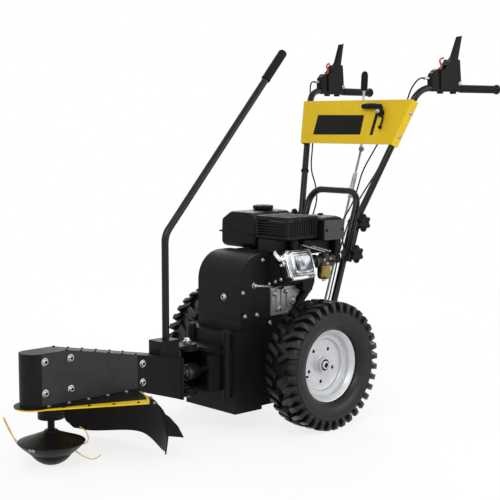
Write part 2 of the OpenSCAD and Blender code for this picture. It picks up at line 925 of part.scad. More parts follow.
module muffler_guard() {
  front_step = (guard_z1 - guard_z0 - 2 * slat_margin) / louvre_count;
  side_step = (guard_y1 - guard_y0 - 2 * slat_margin) / slat_count;
  color(black)
    difference() {
      slab([guard_x0, guard_y0, guard_z0], [guard_x1, guard_y1, guard_z1]);
      slab([guard_x0 + guard_wall, guard_y0 + guard_wall, guard_z0 - over],
        [guard_x1 - guard_wall, guard_y1 - guard_wall, guard_z1 - guard_wall]);
      for (i = [0 : louvre_count - 1])
        slab([guard_x0 + slat_margin, guard_y0 - over, guard_z0 + slat_margin + i * front_step],
          [guard_x1 - slat_margin, guard_y0 + over, guard_z0 + slat_margin + i * front_step + louvre_h]);
      for (i = [0 : slat_count - 1])
        slab([guard_x1 - over, guard_y0 + slat_margin + i * side_step, guard_z0 + slat_margin],
          [guard_x1 + over, guard_y0 + slat_margin + i * side_step + slat_w, guard_z1 - slat_margin]);
      for (i = [0 : slat_count - 1])
        slab([guard_x0 + 2 * slat_margin, guard_y0 + slat_margin + i * side_step, guard_z1 - over],
          [guard_x1 - slat_margin, guard_y0 + slat_margin + i * side_step + slat_w, guard_z1 + over]);
    }
}

// Air cleaner over the carburettor
carb_x = 152;
carb_z = 516;
carb_y0 = 60;
carb_y1 = 128;
carb_half = 21;
carb_h = 19;
bowl_y = 98;
bowl_r = 17;
bowl_low = 455;
intake_r = 14;
air_x0 = 62;
air_x1 = 185;
air_y0 = 64;
air_y1 = 152;
air_z0 = 583;
air_z1 = 648;
air_edge = 12;
duct_half = 22;

module carburettor() {
  color("#c9a24a") {
    slab([carb_x - carb_half, carb_y0, carb_z - carb_h], [carb_x + carb_half, carb_y1, carb_z + carb_h]);
    translate([carb_x, 0, carb_z])
      round_y(cyl_y + head_half_y, carb_y0 + over, intake_r);
    translate([carb_x, bowl_y, 0])
      round_z(bowl_low, carb_z, bowl_r);
  }
}

module air_cleaner() {
  color(soft_black) {
    lengthwise(air_y0, air_y1, [[air_x0, air_z0], [air_x1, air_z0], [air_x1, air_z1],
      [air_x1 - air_edge, air_z1 + air_edge],
      [air_x0 + air_edge, air_z1 + air_edge], [air_x0, air_z1]]);
    slab([carb_x - duct_half, carb_y1, carb_z - carb_h / 2], [carb_x + duct_half, air_y1, air_z0 + over]);
  }
}

// Blower housing with the recoil starter on its back
blower_y1 = 98;
recoil_y1 = 126;
recoil_r = 80;
blower_wall = 4;
fly_y0 = 48;
fly_y1 = 78;
fly_r = 90;
lobe_x = 126;
lobe_z0 = 420;
lobe_z1 = 530;
lobe_y1 = 70;
rope_x = -92;
rope_z = 472;
rope_half = 9;

module blower_housing() {
  color(black)
    difference() {
      union() {
        translate([0, 0, crank_z]) {
          round_y(block_y1, blower_y1, blower_r);
          round_y(blower_y1, recoil_y1, recoil_r);
        }
        slab([0, block_y1, lobe_z0], [lobe_x, lobe_y1, lobe_z1]);
        slab([rope_x, blower_y1, rope_z - rope_half],
          [rope_x / 2, recoil_y1 - rope_half / 2, rope_z + rope_half]);
      }
      translate([0, 0, crank_z])
        round_y(block_y1 - over, blower_y1 - blower_wall, blower_r - blower_wall);
    }
}

pull_r = 11;
pull_half = 26;
pull_stem = 8;
pull_stem_r = 6;

module starter_grip() {
  y0 = (blower_y1 + recoil_y1 - rope_half / 2) / 2;
  color(soft_black)
    translate([rope_x - gap, y0, rope_z]) {
      round_x(-pull_stem - pull_r, 0, pull_stem_r);
      translate([-pull_stem - pull_r, 0, 0])
        round_z(-pull_half, pull_half, pull_r);
    }
}

crank_front = -212;

module crankshaft() {
  color(steel)
    translate([0, 0, crank_z]) {
      round_y(crank_front, fly_y1, crank_r);
      pulley(pto_belt_y, crank_pulley_r);
      pulley(drive_belt_y, crank_small_r);
      round_y(cyl_y - web_gap / 2 - web_t, cyl_y - web_gap / 2, web_r);
      round_y(cyl_y + web_gap / 2, cyl_y + web_gap / 2 + web_t, web_r);
      round_y(fly_y0, fly_y1, fly_r);
    }
}

// Rear loop and handlebars
loop_lean = 18.5;
loop_x = deck_half_w + gap + tube_r;
loop_foot_up = 4;
loop_foot_z = box_top + loop_foot_up;
bar_foot_x = loop_x + 2 * tube_r + gap;
bar_foot_z = 500;
knob_low_z = 526;
knob_below_spread = 23;
knob_high_z = spread_z - knob_below_spread;
knob_z = [knob_low_z, knob_high_z];
bolt_r = 4;
bolt_proud = 4;
function lean_y(z) = spread_back + (z - spread_z) * tan(loop_lean);
bar_lean = atan2(bar_top_back - spread_back, grip_z - spread_z);
bar_spread = atan2(bar_top_half - bar_foot_x, norm([bar_top_back - spread_back, grip_z - spread_z]));
grip_gap = 4;
bar_end_t = (grip_back - bar_top_back) / cos(grip_toe);
bar_reach = bar_end_t - grip_gap;
bar_path = [[bar_foot_x, lean_y(bar_foot_z), bar_foot_z], [bar_foot_x, spread_back, spread_z],
  [bar_top_half, bar_top_back, grip_z],
  [bar_top_half + bar_reach * sin(grip_toe), bar_top_back + bar_reach * cos(grip_toe), grip_z]];

module knob_bores() {
  for (z = knob_z)
    translate([0, lean_y(z), z])
      round_x(loop_x - 2 * tube_r, bar_foot_x + 2 * tube_r, bolt_r + run_fit);
}

module rear_loop() {
  foot_y = lean_y(loop_foot_z);
  color(black)
    difference() {
      bent_bar([[-loop_x, foot_y, loop_foot_z], [-loop_x, lean_y(loop_z), loop_z],
        [loop_x, lean_y(loop_z), loop_z],
        [loop_x, foot_y, loop_foot_z]], loop_bend_r, tube_r);
      both_sides()
        knob_bores();
    }
}

module handlebar(side) {
  color(black)
    mirrored(side)
      difference() {
        bent_bar(bar_path, bar_bend_r, tube_r);
        knob_bores();
      }
}

knob_base_r = 13;
knob_base_h = 8;
knob_h = 32;
knob_r = 19;
lobe_r = 8.5;
lobes = 6;

module star_knob(side, z) {
  x0 = bar_foot_x + tube_r + gap;
  color(black)
    translate([0, lean_y(z), z])
      rotate([0, 0, 90 * (1 - side)]) {
        round_x(loop_x - tube_r - bolt_proud, x0 + knob_base_h, bolt_r);
        round_x(x0, x0 + knob_base_h, knob_base_r);
        round_x(x0 + knob_base_h, x0 + knob_h, knob_r);
        for (i = [0 : lobes - 1])
          rotate([i * 360 / lobes, 0, 0])
            translate([0, knob_r, 0])
              round_x(x0 + knob_base_h, x0 + knob_h, lobe_r);
      }
}

// Grips and clutch levers, drawn with Y along the grip from the nose of the bracket
nose_gap = 1.5;
nose_t = corner_trim(bar_path, 2, bar_bend_r) + nose_gap;
bracket_len = 138;
bracket_half = 13;
bracket_low = -12;
foot_drop = 8;
foot_half = 4;
foot_shares = [0.35, 0.9];
grip_flare = 12;
pivot_t = 124;
pivot_h = 17;
cheek_gap = 1;
cheek_x = max(bracket_half, grip_r) + cheek_gap;
cheek_h = 96;
nose_h = 53;
cheek_t = 2;
lever_top_h = pivot_h + lever_len;
pin_proud = 2;
tab_t = 46;
tab_h = 64;
tab_half = 4;
tab_pin_r = 2.5;
ear_gap = 0.5;
ear_t = 3;
ear_half = 6;
bracket_back_h = 26;
tab_reach = 10;
tab_len = 33;
nose_shares = [[0, 0.45], [0, 0.79], [0.07, 0.96], [0.25, 1], [0.42, 0.92], [0.55, 0.58]];
cheek_shares = [[0.39, 0.08], [0.39, 0.42], [0.49, 0.8], [0.58, 0.96], [0.9, 1], [0.95, 0.31],
  [0.97, 0.15], [0.93, 0.06]];
web_shares = [[0.49, 0.8], [0.58, 0.96], [0.9, 1], [0.917, 0.875], [0.76, 0.81]];
handle_shares = [[0.72, 0.6], [0.92, 0.98], [1.024, 1], [0.9, 0.54]];
tab_shares = [[-0.5, -0.2], [0.5, -0.2], [0.7, 0.06], [0.2, 0.42], [0.4, 0.79], [1, 1], [0, 1],
  [-0.6, 0.73],
  [-0.6, 0.36], [-0.2, 0.06]];
nose_line = scaled(nose_shares, [bracket_len, nose_h]);
web_line = scaled(web_shares, [bracket_len, cheek_h]);
ferrule_r = 3.5;
ferrule_len = 22;
ferrule_h = 32;
cable_r = 2.5;

module at_grip(side) {
  mirrored(side)
    translate([bar_top_half, bar_top_back, grip_z])
      rotate([0, 0, -grip_toe])
        translate([0, nose_t, 0])
          children();
}

module hand_grips() {
  start = bracket_len + grip_gap;
  stop = bar_end_t - nose_t;
  color(soft_black)
    for (side = [-1, 1])
      at_grip(side)
        difference() {
          union() {
            round_y(start, stop, grip_r);
            round_y(stop - grip_flare, stop, grip_end_r);
          }
          round_y(start - over, stop - grip_gap, tube_r + run_fit);
        }
}

module lever_brackets() {
  color(black)
    for (side = [-1, 1])
      at_grip(side)
        difference() {
          union() {
            across(-bracket_half, bracket_half, concat([[0, bracket_low]], nose_line,
              [[bracket_len, bracket_back_h], [bracket_len, bracket_low]]));
            for (t = bracket_len * foot_shares)
              slab([-bracket_half, t - foot_half, bracket_low - foot_drop],
                [bracket_half, t + foot_half, bracket_low + over]);
            translate([0, pivot_t, pivot_h])
              round_x(-cheek_x - cheek_t - pin_proud, cheek_x + cheek_t + pin_proud, pivot_r);
            both_sides()
              slab([tab_half + ear_gap, tab_t - ear_half, nose_line[4][1] - over],
                [tab_half + ear_gap + ear_t, tab_t + ear_half, tab_h + ear_half]);
            translate([0, tab_t, tab_h])
              round_x(-tab_half - ear_t, tab_half + ear_t, tab_pin_r);
            translate([0, 0, ferrule_h])
              round_y(-ferrule_len, over, ferrule_r);
          }
          round_y(-over, bracket_len + over, tube_r + run_fit);
        }
}

module clutch_lever(side) {
  handle = scaled(handle_shares, [bracket_len, lever_top_h]);
  color(soft_black)
    at_grip(side)
      difference() {
        union() {
          both_sides()
            across(cheek_x, cheek_x + cheek_t, scaled(cheek_shares, [bracket_len, cheek_h]));
          across(-cheek_x - cheek_t / 2, cheek_x + cheek_t / 2, web_line);
          across(-lever_w / 2, lever_w / 2, concat([web_line[0]], handle, [web_line[3], web_line[4]]));
        }
        translate([0, pivot_t, pivot_h])
          round_x(-2 * cheek_x, 2 * cheek_x, pivot_r + run_fit);
      }
}

module lock_tab(side) {
  color(red)
    at_grip(side)
      translate([0, tab_t, tab_h])
        difference() {
          across(-tab_half, tab_half, scaled(tab_shares, [tab_reach, tab_len]));
          round_x(-2 * tab_half, 2 * tab_half, tab_pin_r + run_fit);
        }
}

// Console panel, drawn in a frame that leans back with the bars
panel_off = 6.7;
sheet_y = -tube_r - panel_off - panel_t;
throttle_x = 135;
throttle_s = 351;
throttle_at = [throttle_x, throttle_s];
throttle_pin_len = 22;
throttle_pin_r = 4;
throttle_head_r = 7;
throttle_head_t = 3;
slot_x = 103;
slot_s = 275;
slot_run = 2;
slot_h = 76;
slot_low = [slot_x, slot_s];
slot_high = slot_low + [slot_run, slot_h];
slot_w = 15;
guide_up = 290;
guide_z = spread_z + guide_up;
guide_half = 20;
guide_behind = 187;
guide_back = spread_back + guide_behind;
guide_slot_half = 8;
guide_slot_len = 14;
knob_behind = 178;
knob_up = 440;
knob_back = spread_back + knob_behind;
knob_mid_z = spread_z + knob_up;
knob_mid = [0, knob_back, knob_mid_z];
stem_r = 5;
function bar_x(s) = bar_foot_x + s * tan(bar_spread);
function panel_half(s) = bar_x(s) + (tube_r + gap + panel_t) / cos(bar_spread);
stem_slope = (knob_back - eye_back) / (knob_mid_z - eye_z);
function stem_y(z) = eye_back + (z - eye_z) * stem_slope;

module on_bars() {
  translate([0, spread_back, spread_z])
    rotate([-bar_lean, 0, 0])
      children();
}

module console_panel() {
  s0 = panel_low;
  s1 = panel_low + panel_h;
  bar_y = spread_back + (guide_z - spread_z) * tan(bar_lean);
  guide_front = bar_y - (tube_r + panel_off) / cos(bar_lean) - panel_t / 2;
  color(yellow)
    difference() {
      union() {
        on_bars() {
          lengthwise(sheet_y, sheet_y + panel_t,
            [[-panel_half(s0), s0], [panel_half(s0), s0], [panel_half(s1), s1], [-panel_half(s1), s1]]);
          both_sides()
            lengthwise(sheet_y, sheet_y + flange_d,
              [[panel_half(s0) - panel_t, s0], [panel_half(s0), s0], [panel_half(s1), s1],
                [panel_half(s1) - panel_t, s1]]);
          translate([throttle_at[0], 0, throttle_at[1]]) {
            round_y(sheet_y - throttle_pin_len, sheet_y + panel_t / 2, throttle_pin_r);
            round_y(sheet_y - throttle_pin_len - throttle_head_t, sheet_y - throttle_pin_len,
              throttle_head_r);
          }
        }
        slab([-guide_half, guide_front, guide_z], [guide_half, guide_back, guide_z + sheet_t]);
      }
      on_bars()
        lengthwise(sheet_y - over, sheet_y + over,
          [slot_low, slot_low + [slot_w, 0], slot_high + [slot_w, 0], slot_high]);
      slab([-guide_slot_half, stem_y(guide_z) - guide_slot_len, guide_z - over],
        [guide_slot_half, stem_y(guide_z) + guide_slot_len, guide_z + over]);
    }
}

throttle_boss_r = 10;
throttle_stand = 12;
throttle_y = sheet_y - throttle_stand;
elbow_in = 4;
elbow_up = 22;
lever_grip_len = 82;
lever_grip_rise = 2;
tail_out = 19;
tail_down = 53;
throttle_elbow = throttle_at + [-elbow_in, elbow_up];
throttle_tip = throttle_elbow + [-lever_grip_len, lever_grip_rise];
throttle_tail = throttle_at + [tail_out, -tail_down];
throttle_grip_r = 9;
throttle_elbow_r = 10;
throttle_arm_r = 6;
throttle_tail_r = 3;

module throttle_lever() {
  hub = [throttle_at[0], throttle_y, throttle_at[1]];
  elbow = [throttle_elbow[0], throttle_y, throttle_elbow[1]];
  tail = [throttle_tail[0], throttle_y, throttle_tail[1]];
  color(black)
    on_bars()
      difference() {
        union() {
          translate([hub[0], 0, hub[2]])
            round_y(sheet_y - throttle_pin_len + gap, sheet_y - gap, throttle_boss_r);
          bar(hub, elbow, throttle_arm_r);
          bar(elbow, [throttle_tip[0], throttle_y, throttle_tip[1]], throttle_grip_r);
          translate(elbow)
            sphere(r = throttle_elbow_r);
          bar(hub, tail, throttle_tail_r);
          translate(tail)
            sphere(r = throttle_arm_r);
        }
        translate([hub[0], 0, hub[2]])
          round_y(sheet_y - throttle_pin_len - over, sheet_y + over, throttle_pin_r + run_fit);
      }
}

// Gear selector: a push rod from the gearbox, with a turnbuckle, an eye and a knob on a stem
rod_below = 26;
buckle_from = 430;
buckle_len = 70;
buckle_r = 6;
eye_r = 9;
eye_half = 5;
knob_half = 28;
grip_knob_r = 11;

module gear_selector() {
  knob_axis = unit(knob_mid - selector_eye);
  color(steel) {
    bar(selector_foot - selector_axis * rod_below, selector_eye, selector_r);
    bar(selector_foot + selector_axis * buckle_from,
      selector_foot + selector_axis * (buckle_from + buckle_len), buckle_r);
    translate(selector_eye)
      round_x(-eye_half, eye_half, eye_r);
    bar(selector_eye, knob_mid, stem_r);
    bar(knob_mid - knob_axis * knob_half, knob_mid + knob_axis * knob_half, grip_knob_r);
    translate(knob_mid + knob_axis * knob_half)
      sphere(r = grip_knob_r);
  }
}

// Control cables, swept along their routes
function spline_at(p, i, t) =
  let (a = p[max(i - 1, 0)], b = p[i], c = p[i + 1], d = p[min(i + 2, len(p) - 1)])
    (2 * b + (c - a) * t + (2 * a - 5 * b + 4 * c - d) * t * t + (3 * b - a - 3 * c + d) * t * t * t) / 2;
function smooth(p, steps) =
  concat([for (i = [0 : len(p) - 2], k = [0 : steps - 1]) spline_at(p, i, k / steps)], [p[len(p) - 1]]);

module swept(p, r, side, sides) {
  last = len(p) - 1;
  rings = [for (i = [0 : last])
    let (t = unit(p[min(i + 1, last)] - p[max(i - 1, 0)]), u = unit(cross(t, side)), v = cross(t, u))
      for (k = [0 : sides - 1]) p[i] + r * (cos(k * 360 / sides) * u + sin(k * 360 / sides) * v)];
  walls = [for (i = [0 : last - 1], k = [0 : sides - 1])
    let (a = i * sides + k, b = i * sides + (k + 1) % sides)
      each [[a, a + sides, b + sides], [a, b + sides, b]]];
  polyhedron(points = rings, faces = concat(walls, [[for (k = [0 : sides - 1]) k],
    [for (k = [1 : sides]) (last + 1) * sides - k]]));
}

cable_sides = 8;
cable_steps = 3;
ferrule_tip = [bar_top_half + (nose_t - ferrule_len) * sin(grip_toe),
  bar_top_back + (nose_t - ferrule_len) * cos(grip_toe), grip_z + ferrule_h];
// Route of a clutch cable from the ferrule of its bracket to the back of the front box
clutch_route = concat([ferrule_tip], [[249, 446, 1100], [238, 426, 1078], [222, 414, 1030], [205, 400, 960],
  [182, 382, 885], [150, 345, 790], [120, 333, 740], [98, 318, 695], [88, 290, 640], [88, 258, 580],
  [90, 232, 520], [90, 200, 420], [88, 180, 360], [84, 160, 326], [82, 120, 320], [82, 40, 320],
  [82, -60, 320], [82, -145, 320]]);
// Route of the throttle cable from the back of the panel to the side of the carburettor
throttle_route = [[150, 381, 960], [150, 395, 952], [140, 388, 915], [120, 365, 860], [96, 338, 790],
  [86, 329, 745], [80, 318, 705], [80, 290, 665], [82, 258, 630], [104, 226, 596], [142, 195, 565],
  [178, 160, 536], [194, 126, 520], [189, 106, 516], [173, 100, 516]];

module control_cables() {
  color(black) {
    both_sides()
      swept(smooth(clutch_route, cable_steps), cable_r, [1, 0, 0], cable_sides);
    swept(smooth(throttle_route, cable_steps), cable_r, [1, 0, 0], cable_sides);
  }
}

// Trimmer arm: a sloping box tube with the swing lugs and the socket of the swing lever
roof_bend = 88;
roof_tilt = 10.8;
house_back = -569;
floor_drop = 4;
floor_tilt = 17.3;
arm_root = 52;
arm_back = -(swing_front + arm_root);
end_plate_t = 8;
end_plate_lip = 2;
end_plate_half = arm_half_w + end_plate_lip;
block_len = 72;
block_ahead = 43;
block_front = stick_front + block_ahead;
block_half_w = 28;
tongue_len = 50;
socket_h = 24;
shaft_room = 12;
bend_y = nose_y + roof_bend;
function roof(y) = house_top - (y - bend_y) * tan(roof_tilt);
function arm_floor(y) = house_low - floor_drop - (y - house_back) * tan(floor_tilt);
shaft_axis = [0, -cos(shaft_angle), sin(shaft_angle)];
swing_point = [0, -swing_front, pto_z];
shaft_len = (spindle_front - swing_front) / cos(shaft_angle);
bevel_z = pto_z + (spindle_front - swing_front) * tan(shaft_angle);
arm_lug_top = lug_top_z + gap;
arm_lug_low = lug_low_z - gap - lug_t;

module arm_lug(z0, front) {
  translate([0, -swing_front, 0])
    round_z(z0, z0 + lug_t, lug_r);
  slab([-block_half_w, front, z0], [block_half_w, -swing_front, z0 + lug_t]);
}

module arm_tube() {
  t = house_t;
  joint = house_back + gap;
  tongue_half = arm_half_w - t - gap;
  color(soft_black)
    difference() {
      union() {
        difference() {
          union() {
            across(-arm_half_w, arm_half_w, [[joint, arm_floor(joint)], [arm_back, arm_floor(arm_back)],
              [arm_back, roof(arm_back)], [joint, roof(joint)]]);
            across(-tongue_half, tongue_half,
              [[joint - tongue_len, house_low + 2 * t], [joint + over, house_low + 2 * t],
              [joint + over, roof(joint + over) - 2 * t],
                [joint - tongue_len, roof(joint - tongue_len) - 2 * t]]);
          }
          across(t - tongue_half, tongue_half - t,
            [[joint - tongue_len - over, house_low + 3 * t], [joint + t, house_low + 3 * t],
            [arm_back - t, arm_floor(arm_back) + 2 * t], [arm_back - t, roof(arm_back) - t],
              [joint, roof(joint) - 3 * t],
            [joint - tongue_len - over, roof(joint - tongue_len - over) - 3 * t]]);
        }
        slab([-end_plate_half, arm_back - t, arm_floor(arm_back)],
          [end_plate_half, arm_back - t + end_plate_t, roof(arm_back)]);
        arm_lug(arm_lug_top, -block_front);
        arm_lug(arm_lug_low, arm_back - t);
        slab([-block_half_w, -block_front, roof(-block_front + block_len) - t],
          [block_half_w, block_len - block_front, arm_lug_top + lug_t + socket_h]);
      }
      for (z0 = [arm_lug_top, arm_lug_low])
        translate([0, -swing_front, 0])
          round_z(z0 - over, z0 + lug_t + over, swing_pin_r + run_fit);
      translate([0, -stick_front, 0])
        round_z(arm_lug_top + lug_t, arm_lug_top + lug_t + socket_h + over, tube_r + run_fit);
      bar(swing_point + shaft_axis * lug_r, swing_point + shaft_axis * (lug_r + 2 * end_plate_half),
        shaft_r + shaft_room);
    }
}

pin_head_r = 13;
pin_head_h = 8;

module swing_pins() {
  color(steel)
    translate([0, -swing_front, 0]) {
      round_z(lug_top_z - lug_t, arm_lug_top + lug_t + pin_head_h, swing_pin_r);
      round_z(arm_lug_top + lug_t + gap, arm_lug_top + lug_t + pin_head_h, pin_head_r);
      round_z(arm_lug_low - pin_head_h, lug_low_z + lug_t, swing_pin_r);
      round_z(arm_lug_low - pin_head_h, arm_lug_low - gap, pin_head_r);
    }
}

stick_foot = [0, -stick_front, arm_lug_top + lug_t];
stick_bend = [0, -stick_front, stick_bend_z];
stick_top = [0, stick_top_back, stick_top_z];
stick_bend_r = 60;
stick_grip_r = 15;
stick_cap = 4;

module swing_lever() {
  color(black)
    bent_bar([stick_foot, stick_bend, stick_top], stick_bend_r, tube_r);
}

module swing_grip() {
  along = unit(stick_top - stick_bend);
  color(soft_black)
    difference() {
      bar(stick_top - along * stick_grip_len, stick_top + along * stick_cap, stick_grip_r);
      bar(stick_top - along * (stick_grip_len + over), stick_top, tube_r + run_fit);
    }
}

// Trimmer housing with its bottom flange, and the plate under it
flange_h = 3;
flange_half = arm_half_w + nose_flange;
bearing_r = 37;
bearing_low = 133;
guard_from_angle = 47.5;
guard_to_angle = 141;
guard_steps = 24;

module housing_solid(inset, low, back) {
  half = arm_half_w - inset;
  across(-half, half, [[nose_y, low], [back, low], [back, roof(back) - inset], [bend_y, house_top - inset],
    [nose_y, house_top - inset]]);
  translate([0, nose_y, 0])
    round_z(low, house_top - inset, half);
}

module trimmer_housing() {
  color(soft_black)
    difference() {
      union() {
        housing_solid(0, house_low, house_back);
        slab([-flange_half, nose_y, house_low], [flange_half, house_back, house_low + flange_h]);
        translate([0, nose_y, 0])
          round_z(house_low, house_low + flange_h, flange_half);
      }
      housing_solid(house_t, house_low - over, house_back + over);
    }
}

module base_plate() {
  centre = [0, -spindle_front];
  edge = arc(centre, guard_top_r, guard_from_angle, guard_to_angle, guard_steps);
  nose = arc([0, nose_y], flange_half, 180, 360, guard_steps);
  color(yellow)
    difference() {
      upward(house_low - base_t, house_low, concat(edge, nose));
      translate([0, -spindle_front, 0])
        round_z(house_low - 2 * base_t, house_low + base_t, bearing_r + gap);
    }
}

// A flat three-cornered fin of the deflector
module fin(a, b, c) {
  x = unit(b - a);
  z = unit(cross(b - a, c - a));
  y = cross(z, x);
  in_frame(a, x, y, z)
    linear_extrude(guard_t)
      polygon([[0, 0], [norm(b - a), 0], [(c - a) * x, (c - a) * y]]);
}

// Line of the deflector from the base plate to its lower edge, in shares of its reach and its depth
guard_shares = [[0, 0], [0.68, 0.13], [1.04, 0.31], [1.14, 0.53], [1.1, 0.76], [1, 1]];
fin_shares = [[0.7, 0.12], [1.12, 0.62]];
fin_lap_angle = 1;
fin_reach = 372;
fin_low = 75;
function guard_at(r, angle, z) = [r * cos(angle), r * sin(angle) - spindle_front, z];

module deflector() {
  top_z = house_low - base_t;
  inner = guard_top_r - 2 * guard_t;
  line = [for (s = guard_shares) [inner + (guard_low_r - inner) * s[0],
    top_z + (guard_low_z - top_z) * s[1]]];
  ends = [for (s = fin_shares) [inner + (guard_low_r - inner) * s[0] + guard_t / 2,
    top_z + (guard_low_z - top_z) * s[1]]];
  back = [for (i = [len(line) - 1 : -1 : 0]) line[i] + [guard_t, 0]];
  color(black) {
    translate([0, -spindle_front, 0])
      rotate([0, 0, guard_from_angle])
        rotate_extrude(angle = guard_to_angle - guard_from_angle)
          polygon(concat(line, back));
    fin(guard_at(ends[0][0], guard_from_angle + fin_lap_angle, ends[0][1]),
      guard_at(ends[1][0], guard_from_angle + fin_lap_angle, ends[1][1]),
      guard_at(fin_reach, guard_from_angle, fin_low));
  }
}

// Bevel gearbox inside the housing
bevel_half_y = 50;
bevel_half_z = 52;
bevel_room = 46;
bevel_wall = 5;
gear_near_len = 20;
gear_far_len = 34;
gear_gap = 0.5;
gear_angle = (90 - shaft_angle) / 2;
function gear_r(d) = d * tan(gear_angle) - gear_gap;

module bevel_case() {
  half = arm_half_w - house_t - gap;
  color("#77797b")
    translate([0, -spindle_front, 0])
      difference() {
        union() {
          slab([-half, -bevel_half_y, bevel_z - bevel_half_z],
            [half, bevel_half_y, bevel_z + bevel_half_z]);
          round_z(bearing_low, bevel_z - bevel_half_z + over, half - bevel_wall);
          round_z(bearing_low, house_low, bearing_r);
        }
        translate([0, 0, bevel_z])
          round_x(bevel_wall - half, half - bevel_wall, bevel_room);
        round_z(bearing_low - over, bevel_z, spindle_r + run_fit);
        translate([0, 0, bevel_z])
          bar([0, 0, 0], -2 * bevel_half_y * shaft_axis, shaft_r + run_fit);
      }
}

module drive_shaft() {
  color(steel)
    in_frame(swing_point, [1, 0, 0], cross(shaft_axis, [1, 0, 0]), shaft_axis) {
      sphere(r = ball_r);
      cylinder(h = shaft_len - gear_near_len, r = shaft_r);
      translate([0, 0, shaft_len - gear_far_len])
        cylinder(h = gear_far_len - gear_near_len, r1 = gear_r(gear_far_len), r2 = gear_r(gear_near_len));
    }
}

// Spindle, line head and glide cup
spindle_low = 16;
head_hub_r = 25;
head_hub_top = 93;
head_shoulder = 84;
head_edge = 4;

module spindle() {
  color(steel)
    translate([0, -spindle_front, 0]) {
      round_z(spindle_low, bevel_z - gear_far_len, spindle_r);
      translate([0, 0, bevel_z - gear_far_len])
        cylinder(h = gear_far_len - gear_near_len, r1 = gear_r(gear_far_len), r2 = gear_r(gear_near_len));
    }
}

module line_head() {
  color(black)
    translate([0, -spindle_front, 0])
      turned([[spindle_r + run_fit, head_hub_top], [head_hub_r, head_hub_top], [head_hub_r, head_shoulder],
        [head_r, head_rim_z + head_edge],
        [head_r, head_rim_z], [cup_r + head_edge, cup_z], [spindle_r + run_fit, cup_z]]);
}

module glide_cup() {
  h = cup_z - gap;
  ball = (cup_r * cup_r + h * h) / (2 * h);
  color(black)
    translate([0, -spindle_front, 0])
      difference() {
        intersection() {
          translate([0, 0, ball])
            sphere(r = ball);
          round_z(0, h, cup_r + over);
        }
        round_z(spindle_low - gap, cup_z, spindle_r + run_fit);
      }
}

// Trimmer lines: the angle of each line's plane, and its route as distance from the spindle and height
line_routes = [[219, [[82, 55], [96, 60], [110, 72], [123, 92], [134, 114], [140, 130]]],
  [235, [[82, 55], [93, 61], [102, 75], [111, 97], [121, 120], [130, 140]]],
  [57, [[82, 55], [94, 55], [102, 65], [101, 80], [93, 94], [79, 104]]],
  [37, [[70, 42], [84, 33], [100, 25], [116, 21], [130, 24], [143, 33]]]];
line_steps = 4;

module trimmer_lines() {
  color("#e0b83a")
    for (l = line_routes)
      translate([0, -spindle_front, 0])
        swept([for (p = smooth(l[1], line_steps)) [p[0] * cos(l[0]), p[0] * sin(l[0]), p[1]]], line_r,
          [-sin(l[0]), cos(l[0]), 0], cable_sides);
}

// Fasteners: each is a round head that stands on its sheet
head_h = 3;
small_head_r = 4.5;
big_head_r = 7;
plate_screw_shares = [[0.09, 0.43], [0.16, 0.065], [0.55, 0.065], [0.75, 0.9]];
skirt_screw_y = -94;
front_screw_x = 25;
front_screw_z = 415;
loop_bolt_up = 16;
flange_screw_shares = [0.24, 0.76];
side_screw_y = 42;
side_screw_z = 44;
rear_screw_in = 17;
rear_screw_shares = [0.2, 0.73];
flange_bolts = 5;
flange_bolt_pitch = 66;
roof_bolts = 6;
roof_bolt_pitch = 48;
roof_bolt_in = 8;

module machine_screws() {
  flange_x = tube_r + gap + panel_t;
  color(steel) {
    both_sides() {
      for (p = scaled(plate_screw_shares, [cover_front + plate_rear, cover_top - deck_z]))
        translate([0, p[0] - cover_front, p[1] + deck_z])
          round_x(plate_x + plate_t, plate_x + plate_t + head_h, small_head_r);
      translate([0, skirt_screw_y, (box_top + deck_z) / 2])
        round_x(deck_half_w, deck_half_w + head_h, small_head_r);
      translate([0, lean_y(loop_foot_z + loop_bolt_up), loop_foot_z + loop_bolt_up])
        round_x(loop_x + tube_r, loop_x + tube_r + head_h, big_head_r);
      for (share = flange_screw_shares)
        on_bars()
          translate([bar_foot_x, sheet_y + flange_d * 2 / 3, 0])
            rotate([0, bar_spread, 0])
              translate([0, 0, (panel_low + panel_h * share) / cos(bar_spread)])
                round_x(flange_x, flange_x + head_h, small_head_r);
    }
    translate([front_screw_x, 0, front_screw_z])
      round_y(-cover_front - head_h, -cover_front, big_head_r);
  }
}

module housing_screws() {
  color(steel) {
    both_sides() {
      for (y = [-side_screw_y, side_screw_y], z = [-side_screw_z, side_screw_z])
        translate([0, y - spindle_front, z + bevel_z])
          round_x(arm_half_w, arm_half_w + head_h, big_head_r);
      for (share = rear_screw_shares)
        translate([0, house_back + rear_screw_in, house_low + (roof(house_back) - house_low) * share])
          round_x(arm_half_w, arm_half_w + head_h, big_head_r);
      for (i = [0 : flange_bolts - 1])
        translate([arm_half_w + nose_flange / 2, nose_y + flange_bolt_pitch * (i + 1 / 4), 0])
          round_z(house_low + flange_h, house_low + flange_h + head_h, small_head_r);
      for (i = [0 : roof_bolts - 1])
        translate([0, bend_y + roof_bolt_pitch * i, roof(bend_y + roof_bolt_pitch * i)])
          rotate([-roof_tilt, 0, 0])
            translate([arm_half_w - roof_bolt_in, 0, 0])
              round_z(0, head_h, small_head_r / 2);
    }
  }
}

